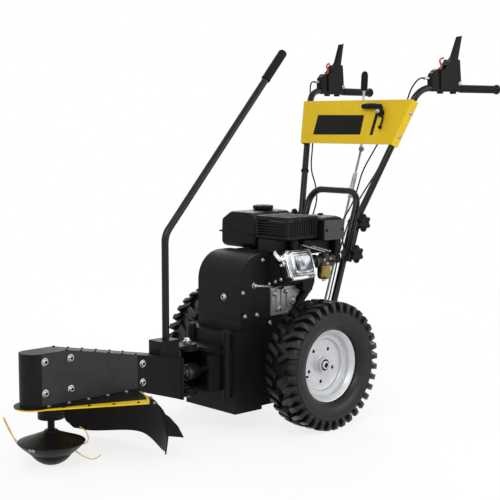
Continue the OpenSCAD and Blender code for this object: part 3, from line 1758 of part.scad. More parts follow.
placed() chassis_frame();
placed() gearbox_case();
placed() belt_cover();
placed() cover_plates();
placed() machine_screws();
placed() crankcase();
placed() cylinder_head();
placed() valve_cover();
placed() fuel_tank();
placed() fuel_cap();
placed() muffler();
placed() muffler_guard();
placed() air_cleaner();
placed() carburettor();
placed() blower_housing();
placed() starter_grip();
placed() crankshaft();
placed() pto_belt();
placed() drive_belt();
placed() pto_tensioner();
placed() drive_tensioner();
placed() pto_shaft();
placed() worm_shaft();
placed() axle_shaft();
placed() at_wheel(1) rim();  // rim_left
placed() at_wheel(-1) rim();  // rim_right
placed() at_wheel(1) tyre();  // tyre_left
placed() at_wheel(-1) tyre();  // tyre_right
placed() axle_nuts();
placed() rear_loop();
placed() handlebar(1);  // handlebar_left
placed() handlebar(-1);  // handlebar_right
placed() console_panel();
placed() hand_grips();
placed() lever_brackets();
placed() clutch_lever(1);  // clutch_lever_left
placed() clutch_lever(-1);  // clutch_lever_right
placed() lock_tab(1);  // lock_tab_left
placed() lock_tab(-1);  // lock_tab_right
placed() throttle_lever();
placed() gear_selector();
placed() control_cables();
placed() star_knob(1, knob_z[1]);  // knob_upper_left
placed() star_knob(-1, knob_z[1]);  // knob_upper_right
placed() star_knob(1, knob_z[0]);  // knob_lower_left
placed() star_knob(-1, knob_z[0]);  // knob_lower_right
placed() arm_tube();
placed() swing_pins();
placed() swing_lever();
placed() swing_grip();
placed() trimmer_housing();
placed() base_plate();
placed() deflector();
placed() bevel_case();
placed() housing_screws();
placed() drive_shaft();
placed() spindle();
placed() line_head();
placed() glide_cup();
placed() trimmer_lines();
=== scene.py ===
"""Looks of a wheeled string trimmer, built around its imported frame."""
from math import atan2, copysign, cos, pi, radians, sin, sqrt

import bmesh
import bpy
import numpy as np
from mathutils import Matrix, Vector
from mathutils.geometry import interpolate_bezier


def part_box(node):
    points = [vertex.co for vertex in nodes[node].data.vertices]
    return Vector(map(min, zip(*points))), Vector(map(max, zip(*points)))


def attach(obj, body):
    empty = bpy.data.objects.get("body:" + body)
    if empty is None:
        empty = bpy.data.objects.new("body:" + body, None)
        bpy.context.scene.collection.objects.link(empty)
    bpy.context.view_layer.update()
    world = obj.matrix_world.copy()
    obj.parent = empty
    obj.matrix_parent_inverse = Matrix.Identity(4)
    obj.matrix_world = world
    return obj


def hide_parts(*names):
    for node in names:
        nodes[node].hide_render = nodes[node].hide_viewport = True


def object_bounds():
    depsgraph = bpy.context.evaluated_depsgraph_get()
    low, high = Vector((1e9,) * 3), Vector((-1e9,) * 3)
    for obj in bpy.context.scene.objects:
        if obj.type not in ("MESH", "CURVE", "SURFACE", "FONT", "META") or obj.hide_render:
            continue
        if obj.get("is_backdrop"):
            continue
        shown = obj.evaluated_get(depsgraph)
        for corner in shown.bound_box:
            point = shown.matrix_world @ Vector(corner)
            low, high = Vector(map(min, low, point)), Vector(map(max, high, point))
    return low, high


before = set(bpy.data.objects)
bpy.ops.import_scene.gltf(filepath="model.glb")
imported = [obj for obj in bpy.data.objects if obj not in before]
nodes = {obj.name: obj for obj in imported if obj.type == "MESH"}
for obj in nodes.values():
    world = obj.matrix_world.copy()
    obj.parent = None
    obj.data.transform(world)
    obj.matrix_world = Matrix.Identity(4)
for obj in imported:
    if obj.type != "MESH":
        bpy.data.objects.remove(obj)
cad_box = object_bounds()
scene = bpy.context.scene

# Meshes are drawn in millimetres from the ground under the axle, and then put into the frame
MM = 0.001
AXLE_LOW, AXLE_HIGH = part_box("axle_shaft")
AXLE_Y = (AXLE_LOW.y + AXLE_HIGH.y) / 2
TO_FRAME = Matrix.Translation((0, AXLE_Y, 0)) @ Matrix.Scale(MM, 4)
FROM_FRAME = TO_FRAME.inverted()
# Directions as the operator sees them
LEFT, BACK, UP, FRONT = (1, 0, 0), (0, 1, 0), (0, 0, 1), (0, -1, 0)
SIDES = {"left": 1, "right": -1}


def new_object(name, data):
    obj = bpy.data.objects.new(name, data)
    scene.collection.objects.link(obj)
    return obj


# Camera

CAMERA_PLACE = (2.7601, -2.5566, 0.9584)
CAMERA_AZIMUTH = radians(47.379)
CAMERA_ELEVATION = radians(6.207)
LENS = 84.98
SENSOR = 36.0


def add_camera():
    camera = new_object("camera", bpy.data.cameras.new("camera"))
    camera.data.lens = LENS
    camera.data.sensor_width = SENSOR
    camera.location = CAMERA_PLACE
    camera.rotation_euler = (pi / 2 - CAMERA_ELEVATION, 0, CAMERA_AZIMUTH)
    scene.camera = camera


# Materials

class Graph:
    """Shader nodes of a material or of the world, made one after another."""

    def __init__(self, owner):
        owner.use_nodes = True
        self.owner = owner
        self.nodes = owner.node_tree.nodes
        self.join = owner.node_tree.links.new

    def add(self, kind, sources=(), **values):
        """A new node, with outputs of other nodes joined to some inputs and values set on others."""
        node = self.nodes.new(kind)
        for key, value in values.items():
            node.inputs[key.replace("_", " ")].default_value = value
        for key, source in dict(sources).items():
            self.join(source, node.inputs[key])
        return node

    def seen(self):
        """One for what the camera sees, also in metal and glass, and zero for the light on the object."""
        path = self.add("ShaderNodeLightPath").outputs
        share = path["Is Camera Ray"]
        for kind in ("Is Glossy Ray", "Is Transmission Ray"):
            both = self.add("ShaderNodeMath", {0: share, 1: path[kind]})
            both.use_clamp = True
            share = both.outputs[0]
        return share

    def mix(self, share, first, second):
        """The first shader where the share is zero, and the second where it is one."""
        node = self.add("ShaderNodeMixShader", {"Fac": share, 1: first.outputs[0], 2: second.outputs[0]})
        return node.outputs[0]


class Finish(Graph):
    """The nodes of a material around its shader, by place in the object."""

    def __init__(self, name):
        super().__init__(bpy.data.materials.new(name))
        self.shader = self.nodes["Principled BSDF"]
        self.inputs = self.shader.inputs
        self.place = self.add("ShaderNodeTexCoord").outputs["Object"]

    def noise(self, scale, detail=3.0):
        node = self.add("ShaderNodeTexNoise", {"Vector": self.place}, Scale=scale, Detail=detail)
        return node.outputs["Fac"]

    def cells(self, scale):
        return self.add("ShaderNodeTexVoronoi", {"Vector": self.place}, Scale=scale).outputs["Distance"]

    def spread(self, value, low, high, start=0.3, end=0.7):
        """The value, taken from start to end, as a number from low to high."""
        node = self.add("ShaderNodeMapRange", {"Value": value}, From_Min=start, From_Max=end, To_Min=low,
                        To_Max=high)
        return node.outputs["Result"]

    def colours(self, value, stops):
        node = self.add("ShaderNodeValToRGB", {"Fac": value})
        ramp = node.color_ramp.elements
        while len(ramp) < len(stops):
            ramp.new(0.5)
        for element, (where, colour) in zip(ramp, stops):
            element.position = where
            element.color = (*colour, 1.0)
        return node.outputs["Color"]

    def bump(self, value, strength, distance):
        node = self.add("ShaderNodeBump", {"Height": value}, Strength=strength, Distance=distance)
        self.join(node.outputs["Normal"], self.inputs["Normal"])

    def dress(self, colour, rough, metal, slot):
        self.join(colour, self.inputs["Base Color"])
        self.join(rough, self.inputs["Roughness"])
        self.inputs["Metallic"].default_value = metal


ROUGH_SPAN = 0.07


def shade(colour, share):
    return tuple(c * share for c in colour)


def look(name, slot, colour, rough, metal=0.0, mottle=0.18, patches=30.0, grain=900.0, relief=0.15,
         depth=0.0003, cells=False, gloss=0.5):
    """A procedural finish: mottled colour, uneven roughness and a fine grain in relief."""
    graph = Finish(name)
    stops = [(0.3, shade(colour, 1 - mottle)), (0.55, colour), (0.75, shade(colour, 1 + mottle))]
    uneven = graph.spread(graph.noise(patches * 3), rough - ROUGH_SPAN, rough + ROUGH_SPAN)
    graph.dress(graph.colours(graph.noise(patches, 5.0), stops), uneven, metal, slot)
    graph.bump(graph.cells(grain) if cells else graph.noise(grain, 2.0), relief, depth)
    graph.inputs["Specular IOR Level"].default_value = gloss
    return graph.owner


def chrome_with_painted_reflections(name, slot):
    """Polished metal whose colour is painted reflection: dark and pale patches stand in for the surroundings
    mirrored in it.
    """
    graph = Finish(name)
    # Painted reflections: the dark and pale stops imitate what the polished metal mirrors
    stops = [(0.36, (0.1, 0.105, 0.115)), (0.46, (0.42, 0.44, 0.47)), (0.56, (0.74, 0.76, 0.79)),
             (0.7, (0.88, 0.9, 0.92))]
    uneven = graph.spread(graph.noise(25.0), 0.08, 0.2)
    graph.dress(graph.colours(graph.noise(22.0, 1.0), stops), uneven, 1.0, slot)
    graph.bump(graph.noise(90.0, 1.0), 0.05, 0.0003)
    return graph.owner


PAINT = look("black_powder_coat", "black_paint", (0.0068, 0.0065, 0.0056), 0.46, cells=True, grain=1400.0,
             relief=0.12, gloss=0.12)
COVER = look("black_cover_coat", "black_paint", (0.008, 0.0077, 0.0067), 0.5, cells=True, grain=1100.0,
             relief=0.2, gloss=0.1)
TUBE = look("black_tube_enamel", "black_paint", (0.0062, 0.006, 0.0053), 0.27, grain=500.0, relief=0.05,
            gloss=0.25)
CAST = look("black_casting", "black_cast", (0.007, 0.0068, 0.006), 0.55, grain=420.0, relief=0.5,
            depth=0.0006, gloss=0.14)
YELLOW = look("yellow_powder_coat", "yellow_paint", (0.66, 0.445, 0.010), 0.42, mottle=0.04, cells=True,
              grain=1400.0, relief=0.1, gloss=0.2)
ALLOY = look("cast_alloy", "alloy", (0.3, 0.305, 0.31), 0.5, metal=0.7, mottle=0.25, grain=520.0,
             relief=0.5, depth=0.0005)
BRIGHT = chrome_with_painted_reflections("bright_cover", "bright_cover")
BRASS = look("brass_bowl", "alloy", (0.3, 0.22, 0.06), 0.3, metal=0.9, mottle=0.15, grain=500.0)
STEEL = look("zinc_steel", "steel", (0.43, 0.435, 0.44), 0.3, metal=1.0, mottle=0.2, grain=700.0,
             relief=0.1)
DULL = look("dull_steel", "steel", (0.2, 0.2, 0.195), 0.42, metal=0.8, mottle=0.3, grain=600.0, relief=0.25)
# Painted light: a lighter copy of the black paint for the flat sides of the housing, where the key lamp
# falls
LIT_SIDE_PAINT = look("satin_side_paint", "black_paint", (0.024, 0.024, 0.0232), 0.5, cells=True, grain=1400.0,
             relief=0.12, gloss=0.2)
OILED = look("oiled_steel", "steel", (0.045, 0.044, 0.042), 0.38, metal=0.7, mottle=0.35, grain=600.0,
             relief=0.25)
RIM = look("silver_rim_paint", "rim_silver", (0.56, 0.57, 0.585), 0.34, metal=0.35, mottle=0.06, cells=True,
           grain=1500.0, relief=0.1)
TYRE = look("tyre_rubber", "tyre", (0.0066, 0.0063, 0.0056), 0.35, mottle=0.3, grain=700.0, relief=0.25,
            depth=0.0005, gloss=0.3)
RUBBER = look("grip_rubber", "rubber", (0.006, 0.0058, 0.0052), 0.55, mottle=0.25, grain=1200.0, relief=0.3,
              gloss=0.13)
PLASTIC = look("black_plastic", "black_plastic", (0.0064, 0.0062, 0.0056), 0.36, cells=True, grain=1800.0,
               relief=0.12, gloss=0.09)
GREY = look("grey_plastic", "black_plastic", (0.045, 0.045, 0.0445), 0.5, mottle=0.1, cells=True,
            grain=1500.0, relief=0.2, gloss=0.25)
RED = look("red_plastic", "red_plastic", (0.5, 0.035, 0.028), 0.32, mottle=0.08, relief=0.06)
LINE = look("amber_line", "amber_line", (0.72, 0.44, 0.06), 0.34, mottle=0.15, patches=120.0, relief=0.1)

NODE_LOOKS = {
    PAINT: ["chassis_frame", "arm_tube", "trimmer_housing", "spindle"],
    COVER: ["belt_cover", "cover_plates"],
    TUBE: ["rear_loop", "handlebar_left", "handlebar_right", "swing_lever"],
    CAST: ["gearbox_case", "blower_housing", "muffler", "muffler_guard", "bevel_case", "cylinder_head"],
    YELLOW: ["console_panel", "base_plate"],
    ALLOY: ["crankcase", "carburettor"],
    BRIGHT: ["valve_cover"],
    STEEL: ["machine_screws", "housing_screws", "crankshaft", "worm_shaft", "axle_shaft", "axle_nuts",
            "pto_tensioner", "drive_tensioner", "gear_selector"],
    DULL: ["swing_pins"],
    OILED: ["pto_shaft", "drive_shaft"],
    RIM: ["rim_left", "rim_right"],
    TYRE: ["tyre_left", "tyre_right"],
    RUBBER: ["pto_belt", "drive_belt", "hand_grips", "swing_grip", "control_cables", "deflector"],
    PLASTIC: ["fuel_tank", "fuel_cap", "air_cleaner", "starter_grip", "lever_brackets",
              "clutch_lever_left", "clutch_lever_right", "throttle_lever", "knob_upper_left",
              "knob_upper_right", "knob_lower_left", "knob_lower_right", "line_head", "glide_cup"],
    RED: ["lock_tab_left", "lock_tab_right"],
    LINE: ["trimmer_lines"],
}

# Radius of the softened edges of the CAD nodes that stay in view, in millimetres
EDGES = {
    "chassis_frame": 2.0, "gearbox_case": 4.0, "belt_cover": 0.8, "cover_plates": 1.0, "crankcase": 3.0,
    "cylinder_head": 1.0, "muffler": 6.0, "muffler_guard": 0.8, "blower_housing": 4.0, "starter_grip": 4.0,
    "console_panel": 0.8, "clutch_lever_left": 2.0, "clutch_lever_right": 2.0, "arm_tube": 1.2,
    "swing_pins": 1.2, "trimmer_housing": 1.0, "base_plate": 0.8, "glide_cup": 2.0,
}
SHARP = radians(35)
WELD = 0.02


def soften(obj, width, segments):
    """Rounds an object's sharp edges, with the shading of the flats kept flat."""
    obj.data.polygons.foreach_set("use_smooth", [True] * len(obj.data.polygons))
    weld = obj.modifiers.new("weld", "WELD")
    weld.merge_threshold = WELD * MM
    if width:
        bevel = obj.modifiers.new("edges", "BEVEL")
        bevel.width = width * MM
        bevel.segments = segments
        bevel.limit_method = "ANGLE"
        bevel.angle_limit = SHARP
    normals = obj.modifiers.new("normals", "WEIGHTED_NORMAL")
    normals.keep_sharp = True


def dress_nodes():
    for material, names in NODE_LOOKS.items():
        for name in names:
            obj = nodes[name]
            obj.data.materials.clear()
            obj.data.materials.append(material)
            soften(obj, EDGES.get(name, 0.0), 3)


def first(name, node):
    """The node for the left one of two pieces, as only one of them can stand for it."""
    return node if name == "left" else None


def settle(obj, material, body, stands_for=None):
    """Gives an object its look and its body, in place of a CAD node where one is named."""
    obj.data.materials.append(material)
    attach(obj, body)
    if stands_for:
        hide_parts(stands_for)


# Mesh tools

def at(x, y, z=0):
    return Matrix.Translation((x, y, z))


def place(origin, x_axis, z_axis):
    """A frame at an origin, with its Z along z_axis and its X as near to x_axis as it can be."""
    z = Vector(z_axis).normalized()
    x = Vector(x_axis)
    x = (x - z * x.dot(z)).normalized()
    turn = Matrix((x, z.cross(x), z)).transposed()
    return at(*origin) @ turn.to_4x4()


def polar(radius, angle, height=0):
    return Vector((radius * cos(angle), radius * sin(angle), height))


def rounded(half_x, half_y, radius, middle=(0, 0), steps=6):
    """The outline of a rectangle with round corners."""
    points = []
    for corner, (across, up) in enumerate(((1, 1), (-1, 1), (-1, -1), (1, -1))):
        for i in range(steps + 1):
            angle = pi / 2 * (corner + i / steps)
            points.append((middle[0] + across * (half_x - radius) + radius * cos(angle),
                           middle[1] + up * (half_y - radius) + radius * sin(angle)))
    return points


def stepped(half_x, half_y, steps):
    """Outlines of rounded rectangles, from the inset, corner radius and height of each step."""
    return [(rounded(half_x - inset, half_y - inset, corner), height) for inset, corner, height in steps]


def curve_through(points, steps=8):
    """Points along one smooth line through the given points."""
    knots = [Vector(p) for p in points]
    line = []
    for a, b, c, d in zip(knots[:1] + knots, knots, knots[1:], knots[2:] + knots[-1:]):
        for k in range(steps):
            t = k / steps
            line.append((2 * b + (c - a) * t + (2 * a - 5 * b + 4 * c - d) * t * t
                         + (3 * b - a - 3 * c + d) * t ** 3) / 2)
    return line + [knots[-1]]


def hexagon(half_flat):
    """The radius of a hexagon at an angle, from half its width over the flats."""
    return lambda angle: half_flat / cos((angle + pi / 6) % (pi / 3) - pi / 6)


class Shape:
    """A mesh drawn in millimetres, one form after another."""

    def __init__(self):
        self.bm = bmesh.new()

    def ring(self, points):
        return [self.bm.verts.new(point) for point in points]

    def skin(self, rings, closed_ends=True):
        """Faces between rings of corners, each of the same count."""
        faces = []
        for a, b in zip(rings, rings[1:]):
            faces += zip(a, a[1:] + a[:1], b[1:] + b[:1], b)
        if closed_ends:
            faces += [rings[0], rings[-1]]
        for face in faces:
            corners = list(dict.fromkeys(face))
            if len(corners) > 2:
                self.bm.faces.new(corners)
        return self

    def lathe(self, profile, where, steps=48, loop=False):
        """Turns a profile about the Z axis of a frame: each radius is a number or depends on the angle."""
        turns = [2 * pi * i / steps for i in range(steps)]
        rings = []
        for radius, height in profile:
            if radius == 0:
                rings.append(self.ring([where @ Vector((0, 0, height))]) * steps)
                continue
            radii = [radius(turn) if callable(radius) else radius for turn in turns]
            rings.append(self.ring(where @ polar(r, turn, height) for r, turn in zip(radii, turns)))
        if loop:
            rings.append(rings[0])
        return self.skin(rings, not loop)

    def bar(self, a, b, radius, steps=20):
        along = Vector(b) - Vector(a)
        side = LEFT if abs(along.x) < 0.9 * along.length else BACK
        return self.lathe([(radius, 0), (radius, along.length)], place(a, side, along), steps)

    def stack(self, where, layers):
        """A solid through outlines in a frame's X and Y, each at its own height."""
        return self.skin([self.ring(where @ Vector((x, y, height)) for x, y in outline)
                          for outline, height in layers])

    def prism(self, outline, where, low, high):
        return self.stack(where, [(outline, low), (outline, high)])

    def block(self, low, high):
        """A box between two corners."""
        (x0, y0, z0), (x1, y1, z1) = low, high
        return self.prism([(x0, y0), (x1, y0), (x1, y1), (x0, y1)], Matrix(), z0, z1)

    def blocks(self, corners):
        for low, high in corners:
            self.block(low, high)
        return self

    def tube(self, line, radius, steps=14):
        """A round tube along a line of close points, with one radius or one for each point."""
        radii = radius if isinstance(radius, list) else [radius] * len(line)
        turns = [2 * pi * k / steps for k in range(steps)]
        side = (line[1] - line[0]).orthogonal()
        rings = []
        for before, point, after, r in zip(line[:1] + line, line, line[1:] + line[-1:], radii):
            along = (after - before).normalized()
            side = (side - along * side.dot(along)).normalized()
            up = along.cross(side)
            rings.append(self.ring(point + r * (cos(turn) * side + sin(turn) * up) for turn in turns))
        return self.skin(rings)

    def spring(self, a, b, radius, wire, turns):
        """A coil spring between two points, with straight ends."""
        a, b = Vector(a), Vector(b)
        where = place(a, LEFT, b - a)
        steps = turns * 12
        coil = [where @ polar(radius, 2 * pi * turns * i / steps, (b - a).length * i / steps)
                for i in range(steps + 1)]
        return self.tube([a] + coil + [b], wire, 6)

    def socket_screw(self, where, radius, height, socket):
        """A round screw head on its washer, with a hexagon socket."""
        head = 0.76 * radius
        six = hexagon(socket)
        return self.lathe([
            (radius, 0), (radius, 1.2), (0.94 * radius, 1.8), (head, 1.8), (head, 0.6 * height),
            (0.93 * head, 0.85 * height), (0.75 * head, height), (1.25 * socket, height),
            (six, height - 0.4), (six, 1.4), (0, 1.2)], where, 36)

    def hex_bolt(self, where, flat, height):
        """A hexagon bolt head on its washer."""
        six = hexagon(flat)
        return self.lathe([
            (1.5 * flat, 0), (1.5 * flat, 1.2), (1.42 * flat, 1.6), (six, 1.6), (six, height - 0.8),
            (0.9 * flat, height), (0, height)], where, 36)

    def bolts(self, where, spots, flat, height):
        """Equal bolt heads at places in a frame."""
        for spot in spots:
            self.hex_bolt(where @ at(*spot), flat, height)
        return self

    def loose(self, name, to=Matrix()):
        """An object of the mesh, moved by a matrix."""
        bmesh.ops.recalc_face_normals(self.bm, faces=self.bm.faces)
        self.bm.transform(to)
        mesh = bpy.data.meshes.new(name)
        self.bm.to_mesh(mesh)
        self.bm.free()
        return new_object(name, mesh)

    def piece(self, name, material, body="root", edge=0.0, stands_for=None, segments=2):
        """An object of the mesh in the frame, which rides on a body."""
        obj = self.loose(name, TO_FRAME)
        soften(obj, edge, segments)
        settle(obj, material, body, stands_for)


def drilled(shape, cutter):
    """A mesh with another one cut out of it."""
    obj, tool = shape.loose("drilled"), cutter.loose("cutter")
    cut = obj.modifiers.new("cut", "BOOLEAN")
    cut.operation = "DIFFERENCE"
    cut.solver = "EXACT"
    cut.object = tool
    result = Shape()
    result.bm.from_object(obj, bpy.context.evaluated_depsgraph_get())
    bpy.data.objects.remove(obj)
    bpy.data.objects.remove(tool)
    return result


def islands(node):
    """The corners of each separate solid of a CAD node, in millimetres."""
    bm = bmesh.new()
    bm.from_mesh(nodes[node].data)
    bmesh.ops.remove_doubles(bm, verts=bm.verts, dist=WELD * MM)
    left = set(bm.verts)
    for first in bm.verts:
        if first not in left:
            continue
        left.remove(first)
        group, todo = [], [first]
        while todo:
            vert = todo.pop()
            group.append(FROM_FRAME @ vert.co)
            near = [edge.other_vert(vert) for edge in vert.link_edges]
            todo += [v for v in near if v in left]
            left.difference_update(near)
        yield np.array(group)
    bm.free()


def screw_seats(node):
    """The frame on the seat of each screw head of a CAD node, and the head's radius."""
    for corners in islands(node):
        middle = corners.mean(0)
        axis = np.linalg.eigh(np.cov((corners - middle).T))[1][:, 0]
        main = int(np.argmax(abs(axis)))
        outward = (middle[0], -1, 1)[main]
        axis = axis if axis[main] * outward > 0 else -axis
        depth = (corners - middle) @ axis
        across = np.linalg.norm(corners - middle - np.outer(depth, axis), axis=1).max()
        seat = Vector(middle + axis * depth.min())
        yield place(seat, UP if main != 2 else LEFT, axis), float(across)


def strand(name, points, radius, material, body, stands_for=None):
    """A round strand along one smooth line through points in millimetres."""
    curve = bpy.data.curves.new(name, "CURVE")
    curve.dimensions = "3D"
    curve.bevel_depth = radius * MM
    curve.bevel_resolution = 4
    curve.resolution_u = 8
    curve.use_fill_caps = True
    spline = curve.splines.new("BEZIER")
    spline.bezier_points.add(len(points) - 1)
    for knot, point in zip(spline.bezier_points, points):
        knot.co = TO_FRAME @ Vector(point)
        knot.handle_left_type = knot.handle_right_type = "AUTO"
    obj = new_object(name, curve)
    settle(obj, material, body, stands_for)
    return obj


# Trimmer lines

SPINDLE_Y = -845
SPINDLE = at(0, SPINDLE_Y)
LINE_R = 1.5
# The angle of each line about the spindle, and its points as distance from the spindle and height
LINE_ROUTES = [
    (219, [(82, 55), (96, 60), (110, 72), (123, 92), (134, 114), (140, 130)]),
    (235, [(82, 55), (93, 61), (102, 75), (111, 97), (121, 120), (130, 140)]),
    (57, [(82, 55), (94, 55), (102, 65), (101, 80), (93, 94), (79, 104)]),
    (37, [(70, 42), (84, 33), (100, 25), (116, 21), (130, 24), (143, 33)])]
LENGTH_STEPS = 40


def line_length(obj):
    """The length of a strand's own line, in metres."""
    knots = obj.data.splines[0].bezier_points
    total = 0.0
    for a, b in zip(knots, knots[1:]):
        line = interpolate_bezier(a.co, a.handle_right, b.handle_left, b.co, LENGTH_STEPS + 1)
        total += sum((after - before).length for before, after in zip(line, line[1:]))
    return total


def add_lines():
    for number, (angle, route) in enumerate(LINE_ROUTES, 1):
        turn = radians(angle)
        points = [(r * cos(turn), r * sin(turn) + SPINDLE_Y, z) for r, z in route]
        obj = strand(f"trimmer_line_{number}", points, LINE_R, LINE, "trimmer_head",
                     "trimmer_lines" if number == 1 else None)
        bpy.context.view_layer.update()
        TO_FRAME @ Vector(points[0])
        line_length(obj)


# Control cables

CABLE_R = 2.5
CLUTCH_ROUTE = [
    (251.9, 465.7, 1101), (249, 446, 1100), (238, 426, 1078), (222, 414, 1030), (205, 400, 960),
    (182, 382, 885), (150, 345, 790), (120, 333, 740), (98, 318, 695), (88, 290, 640), (88, 258, 580),
    (90, 232, 520), (90, 200, 420), (88, 180, 360), (84, 160, 326), (82, 120, 320), (82, 40, 320),
    (82, -60, 320), (82, -145, 320)]
THROTTLE_ROUTE = [
    (150, 381, 960), (150, 395, 952), (140, 388, 915), (120, 365, 860), (96, 338, 790), (86, 329, 745),
    (80, 318, 705), (80, 290, 665), (82, 258, 630), (104, 226, 596), (142, 195, 565), (178, 160, 536),
    (194, 126, 520), (189, 106, 516), (173, 100, 516)]


def add_cables():
    for name, side in SIDES.items():
        route = [(x * side, y, z) for x, y, z in CLUTCH_ROUTE]
        strand(f"clutch_cable_{name}", route, CABLE_R, RUBBER, "root", first(name, "control_cables"))
    strand("throttle_cable", THROTTLE_ROUTE, CABLE_R, RUBBER, "root")


# Stage

WHITE = (1, 1, 1, 1)
WORLD_GREY = 0.62
FLOOR_HALF = 12.0
FLOOR_SINK = 0.001
FLOOR_COLOUR = (0.9, 0.9, 0.9, 1)
FLOOR_ROUGH = 0.9
# Share of the floor's own glow near the object, and the distances where it starts and ends to rise
FLOOR_GLOW = 0.8
GLOW_NEAR = 1.0
GLOW_FAR = 3.5


def add_world():
    graph = Graph(bpy.data.worlds.new("studio"))
    scene.world = graph.owner
    graph.nodes.clear()
    soft = graph.add("ShaderNodeBackground", Color=WHITE, Strength=WORLD_GREY)
    white = graph.add("ShaderNodeBackground", Color=WHITE, Strength=1.0)
    graph.add("ShaderNodeOutputWorld", {"Surface": graph.mix(graph.seen(), soft, white)})


def add_floor():
    mesh = bpy.data.meshes.new("floor")
    corners = [(-1, -1), (1, -1), (1, 1), (-1, 1)]
    mesh.from_pydata([(x * FLOOR_HALF, y * FLOOR_HALF, -FLOOR_SINK) for x, y in corners], [], [(0, 1, 2, 3)])
    graph = Finish("floor_white")
    graph.inputs["Base Color"].default_value = FLOOR_COLOUR
    graph.inputs["Roughness"].default_value = FLOOR_ROUGH
    glow = graph.add("ShaderNodeEmission", Strength=1.0)
    length = graph.add("ShaderNodeVectorMath", {0: graph.place})
    length.operation = "LENGTH"
    far = graph.spread(length.outputs["Value"], FLOOR_GLOW, 1.0, GLOW_NEAR, GLOW_FAR)
    share = graph.add("ShaderNodeMath", {0: graph.seen(), 1: far})
    share.operation = "MULTIPLY"
    surface = graph.mix(share.outputs[0], graph.shader, glow)
    graph.join(surface, graph.nodes["Material Output"].inputs["Surface"])
    mesh.materials.append(graph.owner)
    new_object("floor", mesh)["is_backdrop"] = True


# Place, size and power of each lamp
LAMPS = {
    "key_light": ((2.2, -3.0, 3.2), 2.4, 90.0),
    "fill_light": ((3.4, 1.6, 1.6), 2.4, 45.0),
    "back_light": ((-2.6, 2.4, 2.8), 2.0, 60.0),
}
LAMP_AIM = Vector((0, 0, 0.45))


def add_lamps():
    for name, (where, size, power) in LAMPS.items():
        lamp = bpy.data.lights.new(name, "AREA")
        lamp.size = size
        lamp.energy = power
        obj = new_object(name, lamp)
        obj.location = where
        obj.rotation_euler = (LAMP_AIM - Vector(where)).to_track_quat("-Z", "Y").to_euler()


# Wheels

WHEEL_X = 240
WHEEL_Z = 203
LUGS = 36
LUG_PITCH = 2 * pi / LUGS
CARCASS = [
    (101.5, 18), (113.2, 20), (114.8, 30), (115.5, 38), (119, 44), (125, 50), (127, 52.5), (129.5, 52.3),
    (134, 54.3), (143, 57.2), (152, 58.2), (160, 57.9), (163.5, 58.9), (166.5, 58.9), (168, 56.4),
    (173, 53.5), (178, 50), (183, 44), (186, 30), (187, 12)]
# Place along the axle, radius and half angle of a lug's top and of its root, from the crown outwards
LUG = [
    ((3, 203, 2.3), (3, 184, 3)), ((21, 203, 2.5), (21, 183, 3.2)), ((40, 202.6, 2.6), (40, 181, 3.2)),
    ((52, 200.5, 2.5), (46, 178, 3)), ((57.5, 190, 2), (50, 172, 2.5)), ((59.8, 176, 1.5), (54, 165, 2))]
LUG_SKEW = radians(6.5)
LUG_BEND = 39


def add_lug(tyre, where, row, middle, rows):
    """One tread lug, from the crown over the shoulder and down onto the sidewall."""
    rings = []
    for top, root in rows:
        turn = middle + LUG_SKEW * max(0.0, 1 - top[0] / LUG_BEND)
        corners = [(root, -1), (top, -1), (top, 1), (root, 1)]
        rings.append(tyre.ring(where @ polar(radius, turn + way * radians(half), row * height)
                               for (height, radius, half), way in corners))
    tyre.skin(rings)


def add_tyre(name, where):
    tyre = Shape().lathe(CARCASS + [(r, -h) for r, h in reversed(CARCASS)], where, 120, loop=True)
    for row in (-1, 1):
        for i in range(LUGS):
            # Every second lug is a short one, without the row at the crown
            add_lug(tyre, where, row, (i + row / 4) * LUG_PITCH, LUG[i % 2:])
    tyre.piece(f"tread_tyre_{name}", TYRE, "wheels", 1.4, f"tyre_{name}")


DISH = [
    (23, -7), (60, -7), (77, -6.6), (80.5, -5), (81.5, -3), (82.3, 2), (84.5, 5), (95.4, 6), (98, 8.6),
    (98.9, 19), (100.4, 23.6), (104, 26.5), (107.5, 31), (110, 33.6), (112.6, 34.2), (114, 32.6),
    (113.6, 30.8), (110, 29), (106, 23.4), (102.4, 20.6), (101.4, 8), (98, 3.4), (86.5, 2), (85, -4),
    (83.6, -7.5), (78, -10), (23, -10)]
BARREL = [(100.8, 12), (100.8, -28), (113, -31), (114, -33), (112, -34.4), (98.5, -31), (97.6, 12)]
HUB = [
    (12.6, -45), (21, -45), (23, -43), (23, -12), (26, -9.5), (26, -5.5), (23, -3.5), (22.4, 8), (20.8, 10),
    (12.6, 10)]
HOLE_RING = 55
HOLE_R = 6
HOLES = 5
HOLE_START = radians(54)
HOLE_FROM = -20
HOLE_TO = 10


def add_rim(name, where):
    holes = Shape()
    for i in range(HOLES):
        angle = HOLE_START + 2 * pi * i / HOLES
        ends = [where @ polar(HOLE_RING, angle, height) for height in (HOLE_FROM, HOLE_TO)]
        holes.bar(*ends, HOLE_R, 24)
    rim = drilled(Shape().lathe(DISH, where, 96, loop=True), holes)
    rim.lathe(BARREL, where, 96, loop=True).lathe(HUB, where, 48, loop=True)
    rim.piece(f"dished_rim_{name}", RIM, "wheels", 0.7, f"rim_{name}")


